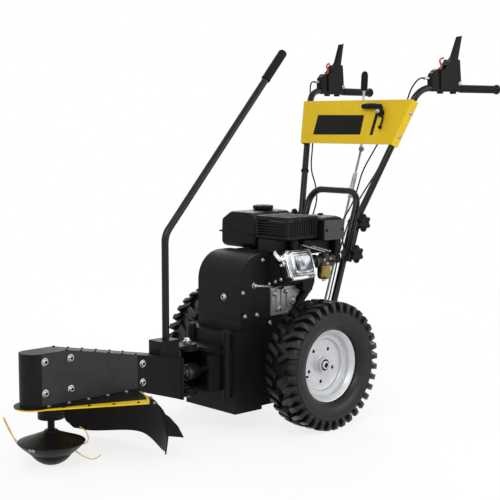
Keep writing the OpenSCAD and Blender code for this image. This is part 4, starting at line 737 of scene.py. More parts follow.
FLANGE = [(22.5, -14), (76, -14), (78, -16), (78, -19), (76, -21), (22.5, -21)]
HUB_CAP = [
    (12.6, 9), (22.6, 9), (22.6, 11.6), (21.8, 12.6), (18.9, 12.6), (18.2, 11.8), (18, 8.2), (13, 8.2),
    (12.9, 15.6), (12.2, 16.9), (8.7, 17.5), (8.2, 17), (8.2, 16.3), (0, 16.3)]
# Painted shade: a black ring deep in the hub cap's groove, and a black hexagon at its middle for the shade
# of a socket
HUB_GROOVE_SHADE = [(13.1, 8.4), (17.9, 8.4), (17.9, 11.6), (13.1, 11.6)]
HUB_SOCKET_SHADE = [(0, 16.2), (8, 16.2), (8, 17), (7.2, 17.5), (hexagon(5), 17.5), (hexagon(5), 16.7), (0, 16.7)]
VALVE_ANGLE = radians(195)
VALVE_FOOT = polar(97, VALVE_ANGLE, 11)
VALVE_TIP = polar(90, VALVE_ANGLE, 24)
VALVE = [(4.4, 0), (3.6, 3), (2.8, 4), (2.8, 9), (3.4, 9.4), (3.4, 14), (2.8, 15), (0, 15)]


def add_wheel_centre(name, where):
    Shape().lathe(FLANGE, where, 72, loop=True).piece(f"hub_flange_{name}", PAINT, "wheels", 0.8)
    cap = Shape().lathe(HUB_CAP, where, 72)
    cap.piece(f"hub_cap_{name}", RIM, "wheels", stands_for=first(name, "axle_nuts"))
    # The rubber piece holds the tyre valve and the painted shade of the hub: the dark groove ring and the
    # dark socket
    valve_and_shade = Shape().lathe(HUB_GROOVE_SHADE, where, 48, loop=True).lathe(HUB_SOCKET_SHADE, where, 36)
    valve_and_shade.lathe(VALVE, place(where @ VALVE_FOOT, UP, where.to_3x3() @ (VALVE_TIP - VALVE_FOOT)), 24)
    valve_and_shade.piece(f"valve_and_hub_shade_{name}", RUBBER, "wheels")


def add_wheels():
    for name, side in SIDES.items():
        # Z goes outwards along the axle
        where = place((side * WHEEL_X, 0, WHEEL_Z), BACK, (side, 0, 0))
        add_tyre(name, where)
        add_rim(name, where)
        add_wheel_centre(name, where)


# Screws

# Radii of the CAD heads from which a screw is a large one or a middle-sized one
LARGE_FROM = 6
MIDDLE_FROM = 3
# Radius, height and half width of the socket of a screw head
LARGE_HEAD = (11.5, 7, 4)
MIDDLE_HEAD = (6.8, 4.8, 2.4)
# Painted shade: a black hexagon deep in each large socket stands in for the shade in the recess
SOCKET_SHADE = [(0, 1.3), (hexagon(3.9), 1.3), (hexagon(3.9), 4.4), (0, 4.4)]
# The CAD node, the body and the finish of the middle-sized screws of each set
SCREW_SETS = {"frame_screws": ("machine_screws", "root", STEEL),
              "trimmer_screws": ("housing_screws", "trimmer_arm", DULL)}


def add_screws():
    for name, (node, body, finish) in SCREW_SETS.items():
        large, middle, dark = Shape(), Shape(), Shape()
        for where, radius in screw_seats(node):
            if radius > LARGE_FROM:
                large.socket_screw(where, *LARGE_HEAD)
                dark.lathe(SOCKET_SHADE, where, 36)
            elif radius > MIDDLE_FROM:
                middle.socket_screw(where, *MIDDLE_HEAD)
            else:
                dark.hex_bolt(where, 2.4, 3)
        # The dark piece holds the small black bolts and the painted shade in the large sockets
        kinds = {"large": (large, STEEL), "middle": (middle, finish), "dark": (dark, CAST)}
        for kind, (shape, material) in kinds.items():
            if len(shape.bm.verts):
                shape.piece(f"{kind}_{name}", material, body, stands_for=node)
                node = None


# Engine

CRANK_Z = 452
CYLINDER_LEAN = radians(20)
CYLINDER_OUT = Vector((cos(CYLINDER_LEAN), 0, sin(CYLINDER_LEAN)))
# X goes back along the crankshaft, Y up across the cylinder and Z out along it
CYLINDER = place((0, -40, CRANK_Z), BACK, CYLINDER_OUT)
HEAD = CYLINDER @ at(0, 0, 186)
HEAD_HALF_Y = 54
HEAD_HALF_W = 47
# Inset from the edge of the head, corner radius and height of each step of the valve cover
VALVE_COVER = [
    (0, 15, 0), (0, 15, 4.5), (1.2, 14, 5.6), (6, 13, 6), (7, 13, 8), (7.5, 13, 17), (8.6, 12, 20.5),
    (11, 11, 22.4), (13.5, 10, 22.2), (15.6, 9, 20), (16.5, 9, 16.5), (18, 8, 15.6), (21, 8, 15.6),
    (22.5, 8, 17), (23.2, 8, 23), (24.5, 8, 26.4), (27.5, 7, 28.4), (33, 6, 29.6), (40, 3, 30)]
COVER_RIBS = (-22, 22)
COVER_BOLTS = [(-47, -40, 5), (-47, 40, 5), (47, -40, 5), (47, 40, 5)]
FIN_BOLTS = (94, 124, 150)


def on_cylinder(back, up, out):
    return CYLINDER @ Vector((back, up, out))


def on_fins(back, up, out):
    """A frame on the front of the cylinder, with X out along it and Z to the front."""
    return place(on_cylinder(back, up, out), CYLINDER_OUT, FRONT)


def add_valve_cover():
    cover = Shape().stack(HEAD, stepped(HEAD_HALF_Y, HEAD_HALF_W, VALVE_COVER))
    for up in COVER_RIBS:
        cover.prism(rounded(20, 1.6, 1.5, (0, up)), HEAD, 15, 21)
    cover.prism(rounded(HEAD_HALF_Y + 1, HEAD_HALF_W + 1, 15), HEAD, -12, -0.4)
    cover.piece("pressed_valve_cover", BRIGHT, edge=0.5, stands_for="valve_cover")
    bolts = Shape().bolts(HEAD, COVER_BOLTS, 3.6, 6.5)
    for out in FIN_BOLTS:
        bolts.hex_bolt(on_fins(-57, -34, out), 4.5, 6)
    bolts.piece("cylinder_bolts", STEEL)


EXHAUST_ROUTE = [(-48, 20, 172), (-62, 26, 171), (-66, 38, 166), (-58, 50, 158)]
EXHAUST_NUTS = [(0, -14, 5), (0, 14, 5)]


def add_exhaust():
    flange = on_fins(-54, 20, 168)
    elbow = Shape().tube(curve_through([on_cylinder(*point) for point in EXHAUST_ROUTE]), 9, 20)
    elbow.prism(rounded(10, 20, 8), flange, 0, 5).piece("exhaust_elbow", BRIGHT, edge=0.8)
    Shape().bolts(flange, EXHAUST_NUTS, 4, 6).piece("exhaust_nuts", STEEL)


# The shroud's corners and ribs, as distance along the cylinder and height across it
SHROUD = [(100, -30), (152, -36), (152, 50), (126, 50)]
SHROUD_RIBS = [(106, 8), (122, 8), (138, 8)]


def add_shroud():
    """A black sheet in front of the cooling fins."""
    front = on_fins(-53.5, 0, 0)
    sheet = Shape().prism(SHROUD, front, 0, 3)
    for middle in SHROUD_RIBS:
        sheet.prism(rounded(2.5, 24, 2.4, middle), front, 2, 6)
    sheet.piece("cooling_shroud", CAST, edge=0.8)


CASE_SIDE = place((95, 0, 0), BACK, LEFT)
# Corners of the alloy bracket on the side of the crankcase and middles of its ribs, as Y and Z
SIDE_BRACKET = [(-25, 428), (40, 428), (40, 415), (-2, 372), (-18, 372), (-18, 415)]
SIDE_RIBS = [(-84, 398), (-62, 398), (-40, 398)]
FOOT_RIB = rounded(58, 4, 2, (-31, 354))
DRAIN_BOSS = [(15, -1), (15, 4), (12, 6), (12, 8), (0, 8)]
DRAIN_PLACE = (6, 390)
# Y, Z and half the width over the flats of each bolt
SIDE_BOLTS = [(-51, 368, 6.5), (32, 421, 4.5), (-19, 421, 4.5), (*DRAIN_PLACE, 5.5), (-73, 418, 5)]
STAY = (104, -161, 452), (104, -40, 440)
STAY_BOLT = place((99.5, -161, 452), BACK, LEFT)
STAY_FOOT = (94, -50, 432), (109, -40, 449)
HOSE = [(101, 10, 352), (103, 24, 366), (104, 44, 396), (104, 72, 428), (98, 92, 446)]


def add_crankcase_trim():
    ribs = Shape().prism(SIDE_BRACKET, CASE_SIDE, 0, 3.5)
    for middle in SIDE_RIBS:
        ribs.prism(rounded(2.5, 33, 2.4, middle), CASE_SIDE, -1, 4)
    ribs.prism(FOOT_RIB, CASE_SIDE, -1, 4.6).lathe(DRAIN_BOSS, CASE_SIDE @ at(*DRAIN_PLACE), 32)
    ribs.piece("crankcase_ribs", ALLOY, edge=0.9)
    bolts = Shape()
    for y, z, flat in SIDE_BOLTS:
        bolts.hex_bolt(CASE_SIDE @ at(y, z, 3.5), flat, 6)
    bolts.bar(*STAY, 4.4).hex_bolt(STAY_BOLT, 6.5, 9).piece("crankcase_bolts", STEEL)
    Shape().block(*STAY_FOOT).tube(curve_through(HOSE), 13).piece("breather_hose", RUBBER, edge=1.5)


TANK_HALF_X = 82.5
TANK_HALF_Y = 96
# Inset from the sides, inset from the ends, corner radius and height of each step of the tank
TANK = [
    (26, 22, 6, 551.5), (16, 12, 7, 552.4), (7, 5, 8, 556), (1.5, 1, 9, 563), (0, 0, 9, 570),
    (0, 0, 9, 597), (-1, -1, 9, 598.6), (-7, -6, 10, 599), (-7.6, -6.6, 10, 600), (-7.6, -6.6, 10, 603),
    (-7, -6, 10, 604), (-0.5, -0.5, 9, 604.6), (0, 0, 9, 606), (0.5, 0.5, 9, 634), (2, 1, 9, 640),
    (5, 1.6, 9, 644), (32, 5, 10, 663), (38, 8, 10, 666.4), (44, 14, 9, 668), (60, 40, 8, 668.4)]
TANK_FEET = [((-45, y, 529), (-19, y + 12, 556)) for y in (-68.7, 2)]
NECK = [(40, 664), (39, 668.6), (33, 670.4), (24, 671), (24, 672), (20, 672), (20, 660)]
CAP_RIBS = 20
COWL = [((-75, -88, 526), (58, 26, 551)), ((40, -92, 548), (118, 10, 590)), ((96, 6, 541), (150, 124, 586))]


def ribbed(radius):
    return lambda angle: radius + 0.9 * cos(CAP_RIBS * angle)


CAP = [
    (22, 672.4), (ribbed(32.4), 672.6), (ribbed(33), 675), (ribbed(33), 681.6), (32.2, 683.6), (30, 685),
    (27, 685.2), (25.6, 683.6), (14, 683.8), (12.4, 685.6), (0, 686)]


def add_fuel_tank():
    neck = at(-72, 38)
    tank = Shape().stack(at(-77.5, 26), [(rounded(TANK_HALF_X - side, TANK_HALF_Y - end, corner), height)
                                         for side, end, corner, height in TANK])
    tank.blocks(TANK_FEET).lathe(NECK, neck)
    tank.piece("moulded_fuel_tank", PLASTIC, edge=1.0, stands_for="fuel_tank")
    Shape().lathe(CAP, neck, 160).piece("ribbed_fuel_cap", PLASTIC, "fuel_cap", stands_for="fuel_cap")
    Shape().blocks(COWL).piece("engine_cowl", CAST, edge=5.0, segments=3)


AIR_MIDDLE = at(123.5, 108)
# Inset, corner radius and height of each step of the air cleaner and of its lid
AIR_BOX = [
    (6, 8, 583), (1.5, 10, 584.6), (0, 10, 588), (0, 10, 638), (1.2, 10, 641), (-1, 11, 641.6),
    (-1, 11, 646), (1.5, 11, 650), (7, 10, 654.6), (15, 9, 657.6), (26, 8, 659.6), (36, 5, 660)]
AIR_LID = [
    (0, 7, 0), (0, 7, 2.2), (1.4, 7, 3.2), (4, 7, 3.2), (5.2, 7, 2.2), (9, 7, 2.2), (10, 7, 3.4),
    (22, 7, 3.8)]
LID_SCREWS = [(-36, 0, 2.2), (36, 0, 2.2)]
# Inset and height of each step of the duct
DUCT = [(1, 506), (0, 508), (0, 530), (3, 534), (3, 548), (-1, 552), (-1, 584)]
AIR_KNOB = [(9, 658), (9, 663), (7, 666), (0, 667)]


def add_air_cleaner():
    box = Shape().stack(AIR_MIDDLE, stepped(61.5, 44, AIR_BOX))
    box.stack(at(152, 140), [(rounded(22 - inset, 13 - inset / 2, 6), height) for inset, height in DUCT])
    box.lathe(AIR_KNOB, AIR_MIDDLE, 32)
    box.piece("air_cleaner_box", PLASTIC, edge=0.8, stands_for="air_cleaner")
    side = place((184.6, 107, 616), BACK, LEFT)
    Shape().stack(side, stepped(45, 31.5, AIR_LID)).piece("air_cleaner_lid", GREY, edge=0.4)
    Shape().bolts(side, LID_SCREWS, 3.4, 5).piece("air_cleaner_screws", CAST)


# The carburettor's middle, with X to the left, Y back and Z up
CARB = Vector((152, 0, 516))
CARB_SIDE = place((173, 0, 0), BACK, LEFT)
BOWL_MIDDLE = at(152, 96)
# Radius and place along Y of each step of the throat
THROAT = [
    (19, 13), (19, 20), (14, 21), (14, 46), (22, 47), (22, 55), (17, 56), (17, 66), (19, 67), (19, 112),
    (23, 113), (23, 129)]
CARB_BLOCKS = [((132, 68, 502), (173, 110, 531)), ((146, 76, 530), (168, 102, 540))]
BOWL = [
    (8, 455), (16, 456.5), (20, 461), (21.5, 468), (21.5, 494), (23.5, 495), (23.5, 501), (19, 502),
    (19, 508)]
BOWL_NUT = [(hexagon(6), 449), (hexagon(6), 456), (0, 456)]
CARB_SCREWS = [(74, 522), (104, 522), (89, 508)]
GOVERNOR_ROD = (176, 73, 547), (176, -26, 575)
GOVERNOR_SPRING = (169, 104, 545), (169, 22, 566)
# Outline as Y and Z, and place from the carburettor's side, of each lever
GOVERNOR_LEVERS = [
    (rounded(19, 3.2, 3, (88, 543)), -10, -8), (rounded(3.2, 15, 3, (73, 534)), 2, 4),
    (rounded(34, 4, 3.5, (10, 573)), -12, -9.6), (rounded(4, 17, 3.5, (-22, 560)), -9.6, -7.2)]


def add_carburettor():
    body = Shape().lathe(THROAT, place(CARB, LEFT, BACK), 40).blocks(CARB_BLOCKS)
    body.piece("carburettor_body", OILED, edge=1.6, stands_for="carburettor")
    Shape().lathe(BOWL, BOWL_MIDDLE, 40).piece("float_bowl", BRASS, edge=0.4)
    linkage = Shape().lathe(BOWL_NUT, BOWL_MIDDLE, 36).bolts(CARB_SIDE, CARB_SCREWS, 3.4, 4.5)
    linkage.bar(*GOVERNOR_ROD, 1.7, 10).spring(*GOVERNOR_SPRING, 4, 0.9, 16)
    linkage.piece("governor_linkage", STEEL, edge=0.3)
    levers = Shape()
    for outline, low, high in GOVERNOR_LEVERS:
        levers.prism(outline, CARB_SIDE, low, high)
    levers.piece("governor_levers", CAST, edge=0.3)


STARTER = place((0, 126, CRANK_Z), LEFT, BACK)
STARTER_RIBS = 16
STARTER_RIB = rounded(21, 2.4, 2.2, (49, 0))
STARTER_BOSS = [(25, -1), (25, 4), (22, 6), (8, 6.6), (0, 6.6)]
STARTER_RING = [(72, -1), (72.6, 3), (74, 4), (77.6, 4), (79, 2.6), (79, -1)]
STARTER_BOLTS = [polar(89, radians(45 + 90 * i), -28) for i in range(4)]


def add_starter():
    """The ribs, boss and bolts on the back of the recoil starter."""
    ribs = Shape()
    for i in range(STARTER_RIBS):
        turn = Matrix.Rotation(2 * pi * i / STARTER_RIBS, 4, "Z")
        ribs.prism(STARTER_RIB, STARTER @ turn, -1, 3.4)
    ribs.lathe(STARTER_BOSS, STARTER).lathe(STARTER_RING, STARTER, 80, loop=True)
    ribs.piece("starter_ribs", CAST, edge=0.6)
    Shape().bolts(STARTER, STARTER_BOLTS, 4.4, 6).piece("starter_bolts", STEEL)


# Chassis

BOX_FRONT_Y = -257
BOX_FRONT = place((0, BOX_FRONT_Y, 0), LEFT, FRONT)
POST_X = 84
POST_IN = 3
POST = [(15, 112), (15, 314), (13.2, 321), (8.25, 325), (0, 326)]
HITCH_BOLT = at(0, -350, 289.3)


def add_hitch():
    """The round-topped posts on the front of the box, and the bolt of the swing pin."""
    posts = Shape()
    for side in SIDES.values():
        posts.lathe(POST, at(side * POST_X, BOX_FRONT_Y - POST_IN), 36)
        posts.prism(rounded(4, 58, 3.6, (side * 100, 205)), BOX_FRONT, -1, 3)
    posts.piece("hitch_posts", PAINT, edge=1.2, segments=3)
    Shape().hex_bolt(HITCH_BOLT, 8, 9).piece("hitch_bolt", STEEL)


# Console

# The bend of the right handlebar, and the way that the bar goes up from it
BAR_BEND = Vector((-133.6, 281, 650))
BAR_WAY = Vector((-115.4, 161, 419))
BAR_LEAN = atan2(BAR_WAY.y, BAR_WAY.z)
# X goes to the operator's left, Y up along the bars and Z out of the front of the panel
PANEL = place((0, BAR_BEND.y, BAR_BEND.z), LEFT, (0, -cos(BAR_LEAN), sin(BAR_LEAN)))
PANEL_FRONT = 19.7
FIELD = [(-160.7, 347.7), (57, 346.3), (62, 276.3), (-159.1, 274.5)]
SLOT_BACKING = rounded(14, 46, 3, (112, 313))


def add_console():
    Shape().prism(FIELD, PANEL, PANEL_FRONT - 0.4, PANEL_FRONT + 0.5).piece("panel_field", PLASTIC)
    backing = Shape().prism(SLOT_BACKING, PANEL, PANEL_FRONT - 6, PANEL_FRONT - 2.1)
    backing.piece("slot_backing", CAST, edge=0.6)


# Points of the throttle lever in the panel's frame, at one distance out
THROTTLE_OUT = 33
THROTTLE_HUB = (135, 351)
THROTTLE_GRIP = [(136, 371), (112, 373.4), (82, 374), (50, 373)]
THROTTLE_ARM = [THROTTLE_HUB, (137, 362), (132, 371)]
THROTTLE_TAIL = [THROTTLE_HUB, (150, 340), (156, 326), (154, 300)]
THROTTLE_BALL = (154, 298)
HUB_PROFILE = [(11, 20.1), (12.5, 22), (12.5, 38), (11, 41), (5, 41.4)]
BALL_PROFILE = [(0, -6.4), (3.6, -5.4), (5.8, -3), (6.5, 0), (5.8, 3), (3.6, 5.4), (0, 6.4)]


def swelling(count, middle, ends):
    """Radii along a bar that is fullest in the middle and round at both ends."""
    radii = []
    for i in range(count):
        t = i / (count - 1)
        full = ends + (middle - ends) * sin(pi * t)
        radii.append(full * min(1.0, 0.35 + 0.65 * sqrt(min(1.0, min(t, 1 - t) / 0.08))))
    return radii


def along_panel(points, steps):
    return curve_through([PANEL @ Vector((x, s, THROTTLE_OUT)) for x, s in points], steps)


def add_throttle():
    grip = along_panel(THROTTLE_GRIP, 12)
    tail = along_panel(THROTTLE_TAIL, 10)
    taper = [6.5 - 3.2 * min(1, i / (len(tail) * 0.45)) for i in range(len(tail))]
    hub = PANEL @ at(*THROTTLE_HUB)
    handle = Shape().tube(grip, swelling(len(grip), 10.2, 9), 20).tube(along_panel(THROTTLE_ARM, 8), 7.5, 18)
    handle.lathe(HUB_PROFILE, hub, 32).tube(tail, taper)
    handle.lathe(BALL_PROFILE, PANEL @ at(*THROTTLE_BALL, THROTTLE_OUT), 24)
    handle.piece("throttle_handle", PLASTIC, "throttle_lever", stands_for="throttle_lever")
    Shape().hex_bolt(hub @ at(0, 0, 44.5), 4.6, 5).piece("throttle_bolt", STEEL)


SELECTOR_FOOT = Vector((0, 243, 300))
SELECTOR_EYE = Vector((0, 437, 864))
KNOB_MIDDLE = Vector((0, 450, 1095))
KNOB_PROFILE = [
    (5, -31), (9, -30), (11, -27), (12, -20), (12, 18), (11.4, 25), (9.6, 31), (6.4, 35.4), (0, 37)]
NUT, SLEEVE = hexagon(6.4), hexagon(7)
BUCKLE = [
    (4, -9), (NUT, -9), (NUT, -1), (5, -1), (5, 2), (SLEEVE, 2), (SLEEVE, 68), (5, 68), (5, 71), (NUT, 71),
    (NUT, 79), (4, 79)]
BUCKLE_UP = 430
EYE = [(4, -5), (8, -5), (9.4, -3.6), (9.4, 3.6), (8, 5), (4, 5)]
STEM = [(4.6, 8), (4.6, 196), (5.6, 197), (5.6, 201), (4.6, 202), (4.6, 230)]


def add_selector():
    along = (SELECTOR_EYE - SELECTOR_FOOT).normalized()
    stem = (KNOB_MIDDLE - SELECTOR_EYE).normalized()
    eye = place(SELECTOR_EYE, BACK, LEFT)
    rod = Shape().bar(SELECTOR_FOOT - 26 * along, SELECTOR_EYE - 8 * along, 4)
    rod.lathe(BUCKLE, place(SELECTOR_FOOT + BUCKLE_UP * along, LEFT, along), 36)
    rod.lathe(EYE, eye, 32, loop=True).hex_bolt(eye @ at(0, 0, 5), 4.4, 6)
    rod.piece("selector_rod", DULL, "gear_selector", 0.3, "gear_selector")
    Shape().lathe(STEM, place(SELECTOR_EYE, LEFT, stem), 24).piece("selector_stem", STEEL, "gear_selector")
    knob = Shape().lathe(KNOB_PROFILE, place(KNOB_MIDDLE, LEFT, stem), 32)
    knob.piece("selector_knob", PLASTIC, "gear_selector")


# Grips, knobs and levers

GRIP_TOE = radians(7)
GRIP_FROM = 142
GRIP_TO = 326.8
GRIP_RIB = 7.5
# The bend at the front of the left handle, and the distance from it to the nose of the bracket
HANDLE_BEND = (249, 442, 1069)
NOSE_BACK = 46
# The flare at the end of a hand grip, as radius and distance from the end
GRIP_END = [(13, -20), (14, -13), (16.4, -9), (17, -6), (16.4, -2), (13, 0), (0, 0.2)]
PIVOT = (-17, 124)
CABLE_END = [(3, -25), (4.6, -25), (4.6, -10), (5.6, -9), (5.6, -1), (3, -1)]


def ribbed_profile(start, stop, pitch, low, high):
    """A row of soft rings along a grip."""
    profile = []
    height = start
    while height + pitch <= stop:
        profile += [(low, height), (low, height + 0.22 * pitch), (high, height + 0.36 * pitch),
                    (high, height + 0.86 * pitch)]
        height += pitch
    return profile


def add_grip(name, where):
    profile = [(11.2, GRIP_FROM), (13.2, GRIP_FROM), (13.5, GRIP_FROM + 10)]
    profile += ribbed_profile(GRIP_FROM + 12, GRIP_TO - 22, GRIP_RIB, 12.8, 13.5)
    profile += [(radius, GRIP_TO + height) for radius, height in GRIP_END]
    grip = Shape().lathe(profile, where, 40)
    grip.piece(f"ribbed_grip_{name}", RUBBER, stands_for=first(name, "hand_grips"))
    bolts = Shape()
    for across in (-1, 1):
        spot = where @ Vector((across * 18.6, *PIVOT))
        bolts.hex_bolt(place(spot, UP, where.to_3x3() @ Vector((across, 0, 0))), 5, 6)
    bolts.lathe(CABLE_END, where @ at(0, -32), 24).piece(f"lever_bolts_{name}", STEEL)


# Corners of the lever bracket, its raised sides, the lever's cheeks and the lock's hook, as distance
# back and height
BRACKET = [
    (3, -11), (-0.5, 8), (-1.6, 27), (-0.6, 42), (4, 50), (12, 54), (36, 52), (58, 48), (76, 31), (136, 26),
    (138, 22), (138, -11)]
BRACKET_MIDDLE = (60, 18)
# Place across the bracket and inset of its outline there
BRACKET_LAYERS = [(-13, 5), (-11.4, 2), (-8.5, 0), (8.5, 0), (11.4, 2), (13, 5)]
BRACKET_FEET = (50, 110)
RIDGE = [(6, 44), (14, 57), (24, 62.5), (34, 64.5), (46, 63), (56, 54), (58, 44)]
CREST = [(6, 44), (14, 56.6), (24, 62), (31, 63.6), (31, 44)]
CHEEK = [
    (36, -3), (35, 56), (46, 62), (58, 68), (69, 77), (79, 90), (84, 97), (118, 97), (121, 60), (128, 32),
    (133, 18), (129, 6), (120, 0), (108, -3)]
HOOK = [(47, 60), (54, 70), (51, 81), (46.5, 90), (48.7, 96.5), (55.2, 99.4), (63, 99.7)]


def drawn_in(corner, inset):
    """A corner of the bracket, moved towards the middle along both axes."""
    return [c + copysign(inset, m - c) for c, m in zip(corner, BRACKET_MIDDLE)]


def add_lever(name, where):
    across, _, back = where.to_3x3().col
    flank = place(where.translation, back, across)
    bracket = Shape().stack(flank, [([drawn_in(corner, inset) for corner in BRACKET], out)
                                    for out, inset in BRACKET_LAYERS])
    for out in (-11, 5.5):
        bracket.prism(RIDGE, flank, out, out + 5.5)
    bracket.prism(CREST, flank, -6, 6)
    for foot in BRACKET_FEET:
        bracket.prism(rounded(8, 5, 3, (foot, -13)), flank, -8, 8)
        bracket.lathe([(10.8, foot - 7), (13.8, foot - 7), (13.8, foot + 7), (10.8, foot + 7)], where, 32)
    bracket.piece(f"lever_bracket_{name}", PLASTIC, "root", 1.2, first(name, "lever_brackets"), 3)
    cheeks = Shape()
    for out in (-17.6, 16.4):
        cheeks.prism(CHEEK, flank, out, out + 1.2)
    cheeks.piece(f"lever_cheeks_{name}", PLASTIC, f"clutch_lever_{name}", 0.4)
    tab = f"lock_tab_{name}"
    hook = Shape().tube(curve_through([flank @ Vector((*point, 0)) for point in HOOK]), 3.3, 16)
    hook.piece(f"lock_hook_{name}", RED, tab, stands_for=tab)


def add_handles():
    x, y, z = HANDLE_BEND
    for name, side in SIDES.items():
        along = Vector((side * sin(GRIP_TOE), cos(GRIP_TOE), 0))
        # X goes across the handle, Y down and Z back along it, from the nose of the bracket
        where = place(Vector((side * x, y, z)) + NOSE_BACK * along, LEFT, along)
        add_grip(name, where)
        add_lever(name, where)


STICK_BEND = Vector((0, -433, 621))
STICK_TOP = Vector((0, 58, 1180))
STICK_GRIP = 118
STICK_COLLAR = [(11.2, 0), (14.4, 0), (15, 1.6), (15, 6), (14, 8)]
# The end of the stick's grip, as radius and distance from the end of the stick
STICK_END = [(14.2, -14), (14.8, -8), (14.2, -2), (11.6, 1.8), (6.5, 3.6), (0, 4)]


def add_swing_grip():
    along = (STICK_TOP - STICK_BEND).normalized()
    profile = STICK_COLLAR + ribbed_profile(10, STICK_GRIP - 18, 7, 13.4, 14.4)
    profile += [(radius, STICK_GRIP + height) for radius, height in STICK_END]
    grip = Shape().lathe(profile, place(STICK_TOP - STICK_GRIP * along, LEFT, along), 40)
    grip.piece("swing_lever_grip", RUBBER, "trimmer_arm", stands_for="swing_grip")


KNOB_X = 144.9
KNOB_LOBES = 6
NUT_X = 100.3
KNOB_PLACES = {"upper": (272.6, 627), "lower": (239.5, 526)}


def lobed(share):
    return lambda angle: share * (25.8 + 4.2 * cos(KNOB_LOBES * angle))


STAR_KNOB = [
    (4, -48), (4, 0), (13, 0), (13, 6), (lobed(0.72), 7), (lobed(0.93), 9), (lobed(1), 12), (lobed(1), 20),
    (lobed(0.95), 23.6), (lobed(0.8), 26), (lobed(0.6), 27), (9.5, 27), (8.5, 25.6), (0, 25.6)]
# A rubber band that holds a cable to the right bar, and its share of the way up
BAND = [(10.6, -5), (13.2, -5), (13.6, -3), (13.6, 3), (13.2, 5), (10.6, 5)]
BAND_SHARE = 0.325


def add_knobs():
    nuts = Shape()
    for height, (y, z) in KNOB_PLACES.items():
        for name, side in SIDES.items():
            knob = f"knob_{height}_{name}"
            star = Shape().lathe(STAR_KNOB, place((side * KNOB_X, y, z), UP, (side, 0, 0)), 96)
            star.piece(f"star_{knob}", PLASTIC, knob, stands_for=knob)
            nuts.hex_bolt(place((side * NUT_X, y, z), UP, (-side, 0, 0)), 6, 6)
    nuts.piece("knob_nuts", STEEL)
    band = Shape().lathe(BAND, place(BAR_BEND + BAND_SHARE * BAR_WAY, LEFT, BAR_WAY), 32)
    band.piece("cable_band", RUBBER, edge=0.4)


# Line head and deflector

LINE_HEAD = [
    (10.2, 101), (17, 101), (18.4, 99.6), (18.4, 97.6), (20.6, 97), (20.6, 94.6), (26, 94), (27, 92.6),
    (60, 80), (92, 68.2), (94.6, 67.2), (95.6, 66.2), (94.6, 64.6), (88, 57.8), (80, 50.2), (72, 43.6),
    (66, 39), (64, 36.4), (10.2, 36)]
# Angles, distance from the spindle, height and fall of the eyelets
EYELET_ANGLES = (288, 294.5, 108, 114.5)
EYELET_R = 91
EYELET_Z = 62
EYELET_FALL = -0.55
EYELET = [(2.6, -3), (5, -3), (5.4, 0), (4.8, 2.6), (3.4, 2.6), (2.6, 1)]


def add_line_head():
    shell = Shape().lathe(LINE_HEAD, SPINDLE, 72)
    shell.piece("line_head_shell", PLASTIC, "trimmer_head", 0.6, "line_head")
    eyelets = Shape()
    for angle in EYELET_ANGLES:
        turn = radians(angle)
        spot = SPINDLE @ polar(EYELET_R, turn, EYELET_Z)
        eyelets.lathe(EYELET, place(spot, UP, polar(1, turn, EYELET_FALL)), 24, loop=True)
    eyelets.piece("line_eyelets", STEEL, "trimmer_head")


BASE_TOP = 172
GUARD_R = 276
GUARD_FROM = 47.5
GUARD_TO = 141
GUARD_INNER = GUARD_R - 8
GUARD_LOW_R = 318
GUARD_T = 4
GUARD_STEPS = 80
# Shares of the way out and down of the deflector's curve
GUARD_CURVE = [(0, 0), (0.68, 0.13), (1.04, 0.31), (1.14, 0.53), (1.1, 0.76), (1, 1)]
# Angle and height of the turning points of the deflector's lower edge
GUARD_LOW = [(47.5, 27), (67, 14), (91, 34), (126, 14), (134, 20), (139, 40), (141, 70)]
GUARD_FIN = [(303, 155), (332, 135), (356, 108), (372, 76), (324, 80)]
# Corners of the clamp strip, outwards from the deflector's radius and up from the base's top
STRIP = [(1, -2.2), (24, -15), (25.3, -12.8), (2.2, -0.1)]
STRIP_END = 1.5
STRIP_STEPS = 40
STRIP_BOLTS = 7
STRIP_BOLT_SPOT = (13, -6.2)
STRIP_SLOPE = 1.8


def guard_low(angle):
    """The height of the deflector's lower edge at an angle, in one soft wave."""
    for (a, low), (b, high) in zip(GUARD_LOW, GUARD_LOW[1:]):
        if angle <= b:
            t = (angle - a) / (b - a)
            return low + (high - low) * t * t * (3 - 2 * t)
    return GUARD_LOW[-1][1]


def add_deflector():
    curve = curve_through([(out, down, 0) for out, down in GUARD_CURVE], 4)
    rubber = Shape()
    rings = []
    for i in range(GUARD_STEPS + 1):
        angle = GUARD_FROM + (GUARD_TO - GUARD_FROM) * i / GUARD_STEPS
        drop = guard_low(angle) - BASE_TOP
        inner = [(GUARD_INNER + (GUARD_LOW_R - GUARD_INNER) * point.x, BASE_TOP + drop * point.y)
                 for point in curve]
        ring = inner + [(r + GUARD_T, z) for r, z in reversed(inner)]
        rings.append(rubber.ring(SPINDLE @ polar(r, radians(angle), z) for r, z in ring))
    out = polar(1, radians(GUARD_FROM))
    rubber.skin(rings).prism(GUARD_FIN, place((0, SPINDLE_Y, 0), out, (out.y, -out.x, 0)), -GUARD_T, 0)
    rubber.piece("rubber_deflector", RUBBER, "trimmer_arm", 0.8, "deflector")


def add_guard_strip():
    """The clamp strip and its bolts along the top of the deflector."""
    strip = Shape()
    rings = []
    for i in range(STRIP_STEPS + 1):
        turn = radians(GUARD_FROM + STRIP_END + (GUARD_TO - GUARD_FROM - 2 * STRIP_END) * i / STRIP_STEPS)
        rings.append(strip.ring(SPINDLE @ polar(GUARD_R + out, turn, BASE_TOP + up) for out, up in STRIP))
    strip.skin(rings).piece("deflector_strip", PAINT, "trimmer_arm", 0.6)
    bolts = Shape()
    out, up = STRIP_BOLT_SPOT
    for i in range(STRIP_BOLTS):
        turn = radians(GUARD_FROM + (GUARD_TO - GUARD_FROM) * (i + 0.5) / STRIP_BOLTS)
        spot = SPINDLE @ polar(GUARD_R + out, turn, BASE_TOP + up)
        bolts.hex_bolt(place(spot, LEFT, polar(1, turn, STRIP_SLOPE)), 4, 5)
    bolts.piece("deflector_bolts", DULL, "trimmer_arm")


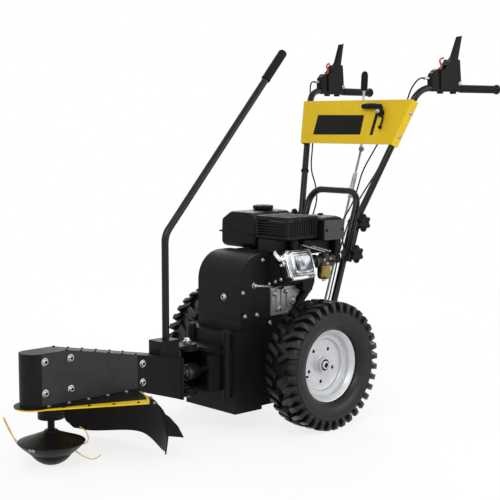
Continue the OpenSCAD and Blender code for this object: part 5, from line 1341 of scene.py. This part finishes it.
# Side plates of the trimmer's housing, as Y and Z, and the places of their inner faces along X
HOUSE_SIDE = [(-898, 181), (-570.5, 181), (-570.5, 280), (-811, 325.5), (-898, 325.5)]
HOUSE_PLATES = (40, -41)
# The plate over the base: its left corners and the arc at its back
COVER_CORNERS = [(58, -880), (98, -755)]
COVER_R = 268
COVER_ARC = range(56, 125, 4)
# The base's left edge, with the shares of the way along it of its screws, and their distance in from it
EDGE_FROM = Vector((56, -899, 176))
EDGE_TO = Vector((186.5, -641.5, 176))
EDGE_SCREWS = (0.18, 0.42, 0.66, 0.9)
EDGE_IN = 9


def add_housing_trim():
    """The side plates of the housing, the plate over its base and the screws along the base's edges."""
    plates = Shape()
    for x in HOUSE_PLATES:
        plates.prism(HOUSE_SIDE, place((x, 0, 0), BACK, LEFT), 0, 1)
    # The side plates are a lighter black than the paint beside them: painted light on the flat sides
    plates.piece("housing_sides", LIT_SIDE_PAINT, "trimmer_arm", 0.4)
    arc = [(SPINDLE @ polar(COVER_R, radians(angle))).xy for angle in COVER_ARC]
    outline = COVER_CORNERS + arc + [(-x, y) for x, y in reversed(COVER_CORNERS)]
    Shape().prism(outline, Matrix(), 176.1, 178.4).piece("base_cover", PAINT, "trimmer_arm", 0.5)
    screws = Shape()
    inward = Vector((EDGE_FROM.y - EDGE_TO.y, EDGE_TO.x - EDGE_FROM.x, 0)).normalized()
    for share in EDGE_SCREWS:
        x, y, z = EDGE_FROM.lerp(EDGE_TO, share) + EDGE_IN * inward
        screws.bolts(Matrix(), [(x, y, z), (-x, y, z)], 3, 3)
    screws.piece("base_screws", CAST, "trimmer_arm")


for add in (add_camera, add_lines, add_cables, add_world, add_floor, add_lamps, dress_nodes,
            add_wheels, add_screws, add_valve_cover, add_exhaust, add_shroud, add_crankcase_trim,
            add_fuel_tank, add_air_cleaner, add_carburettor, add_starter, add_hitch, add_console,
            add_throttle, add_selector, add_handles, add_swing_grip, add_knobs, add_line_head,
            add_deflector, add_guard_strip, add_housing_trim):
    add()

view = scene.view_settings
view.view_transform = "Standard"
boxes = {"cad": cad_box, "visual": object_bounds()}
{key: [list(corner) for corner in box] for key, box in boxes.items()}
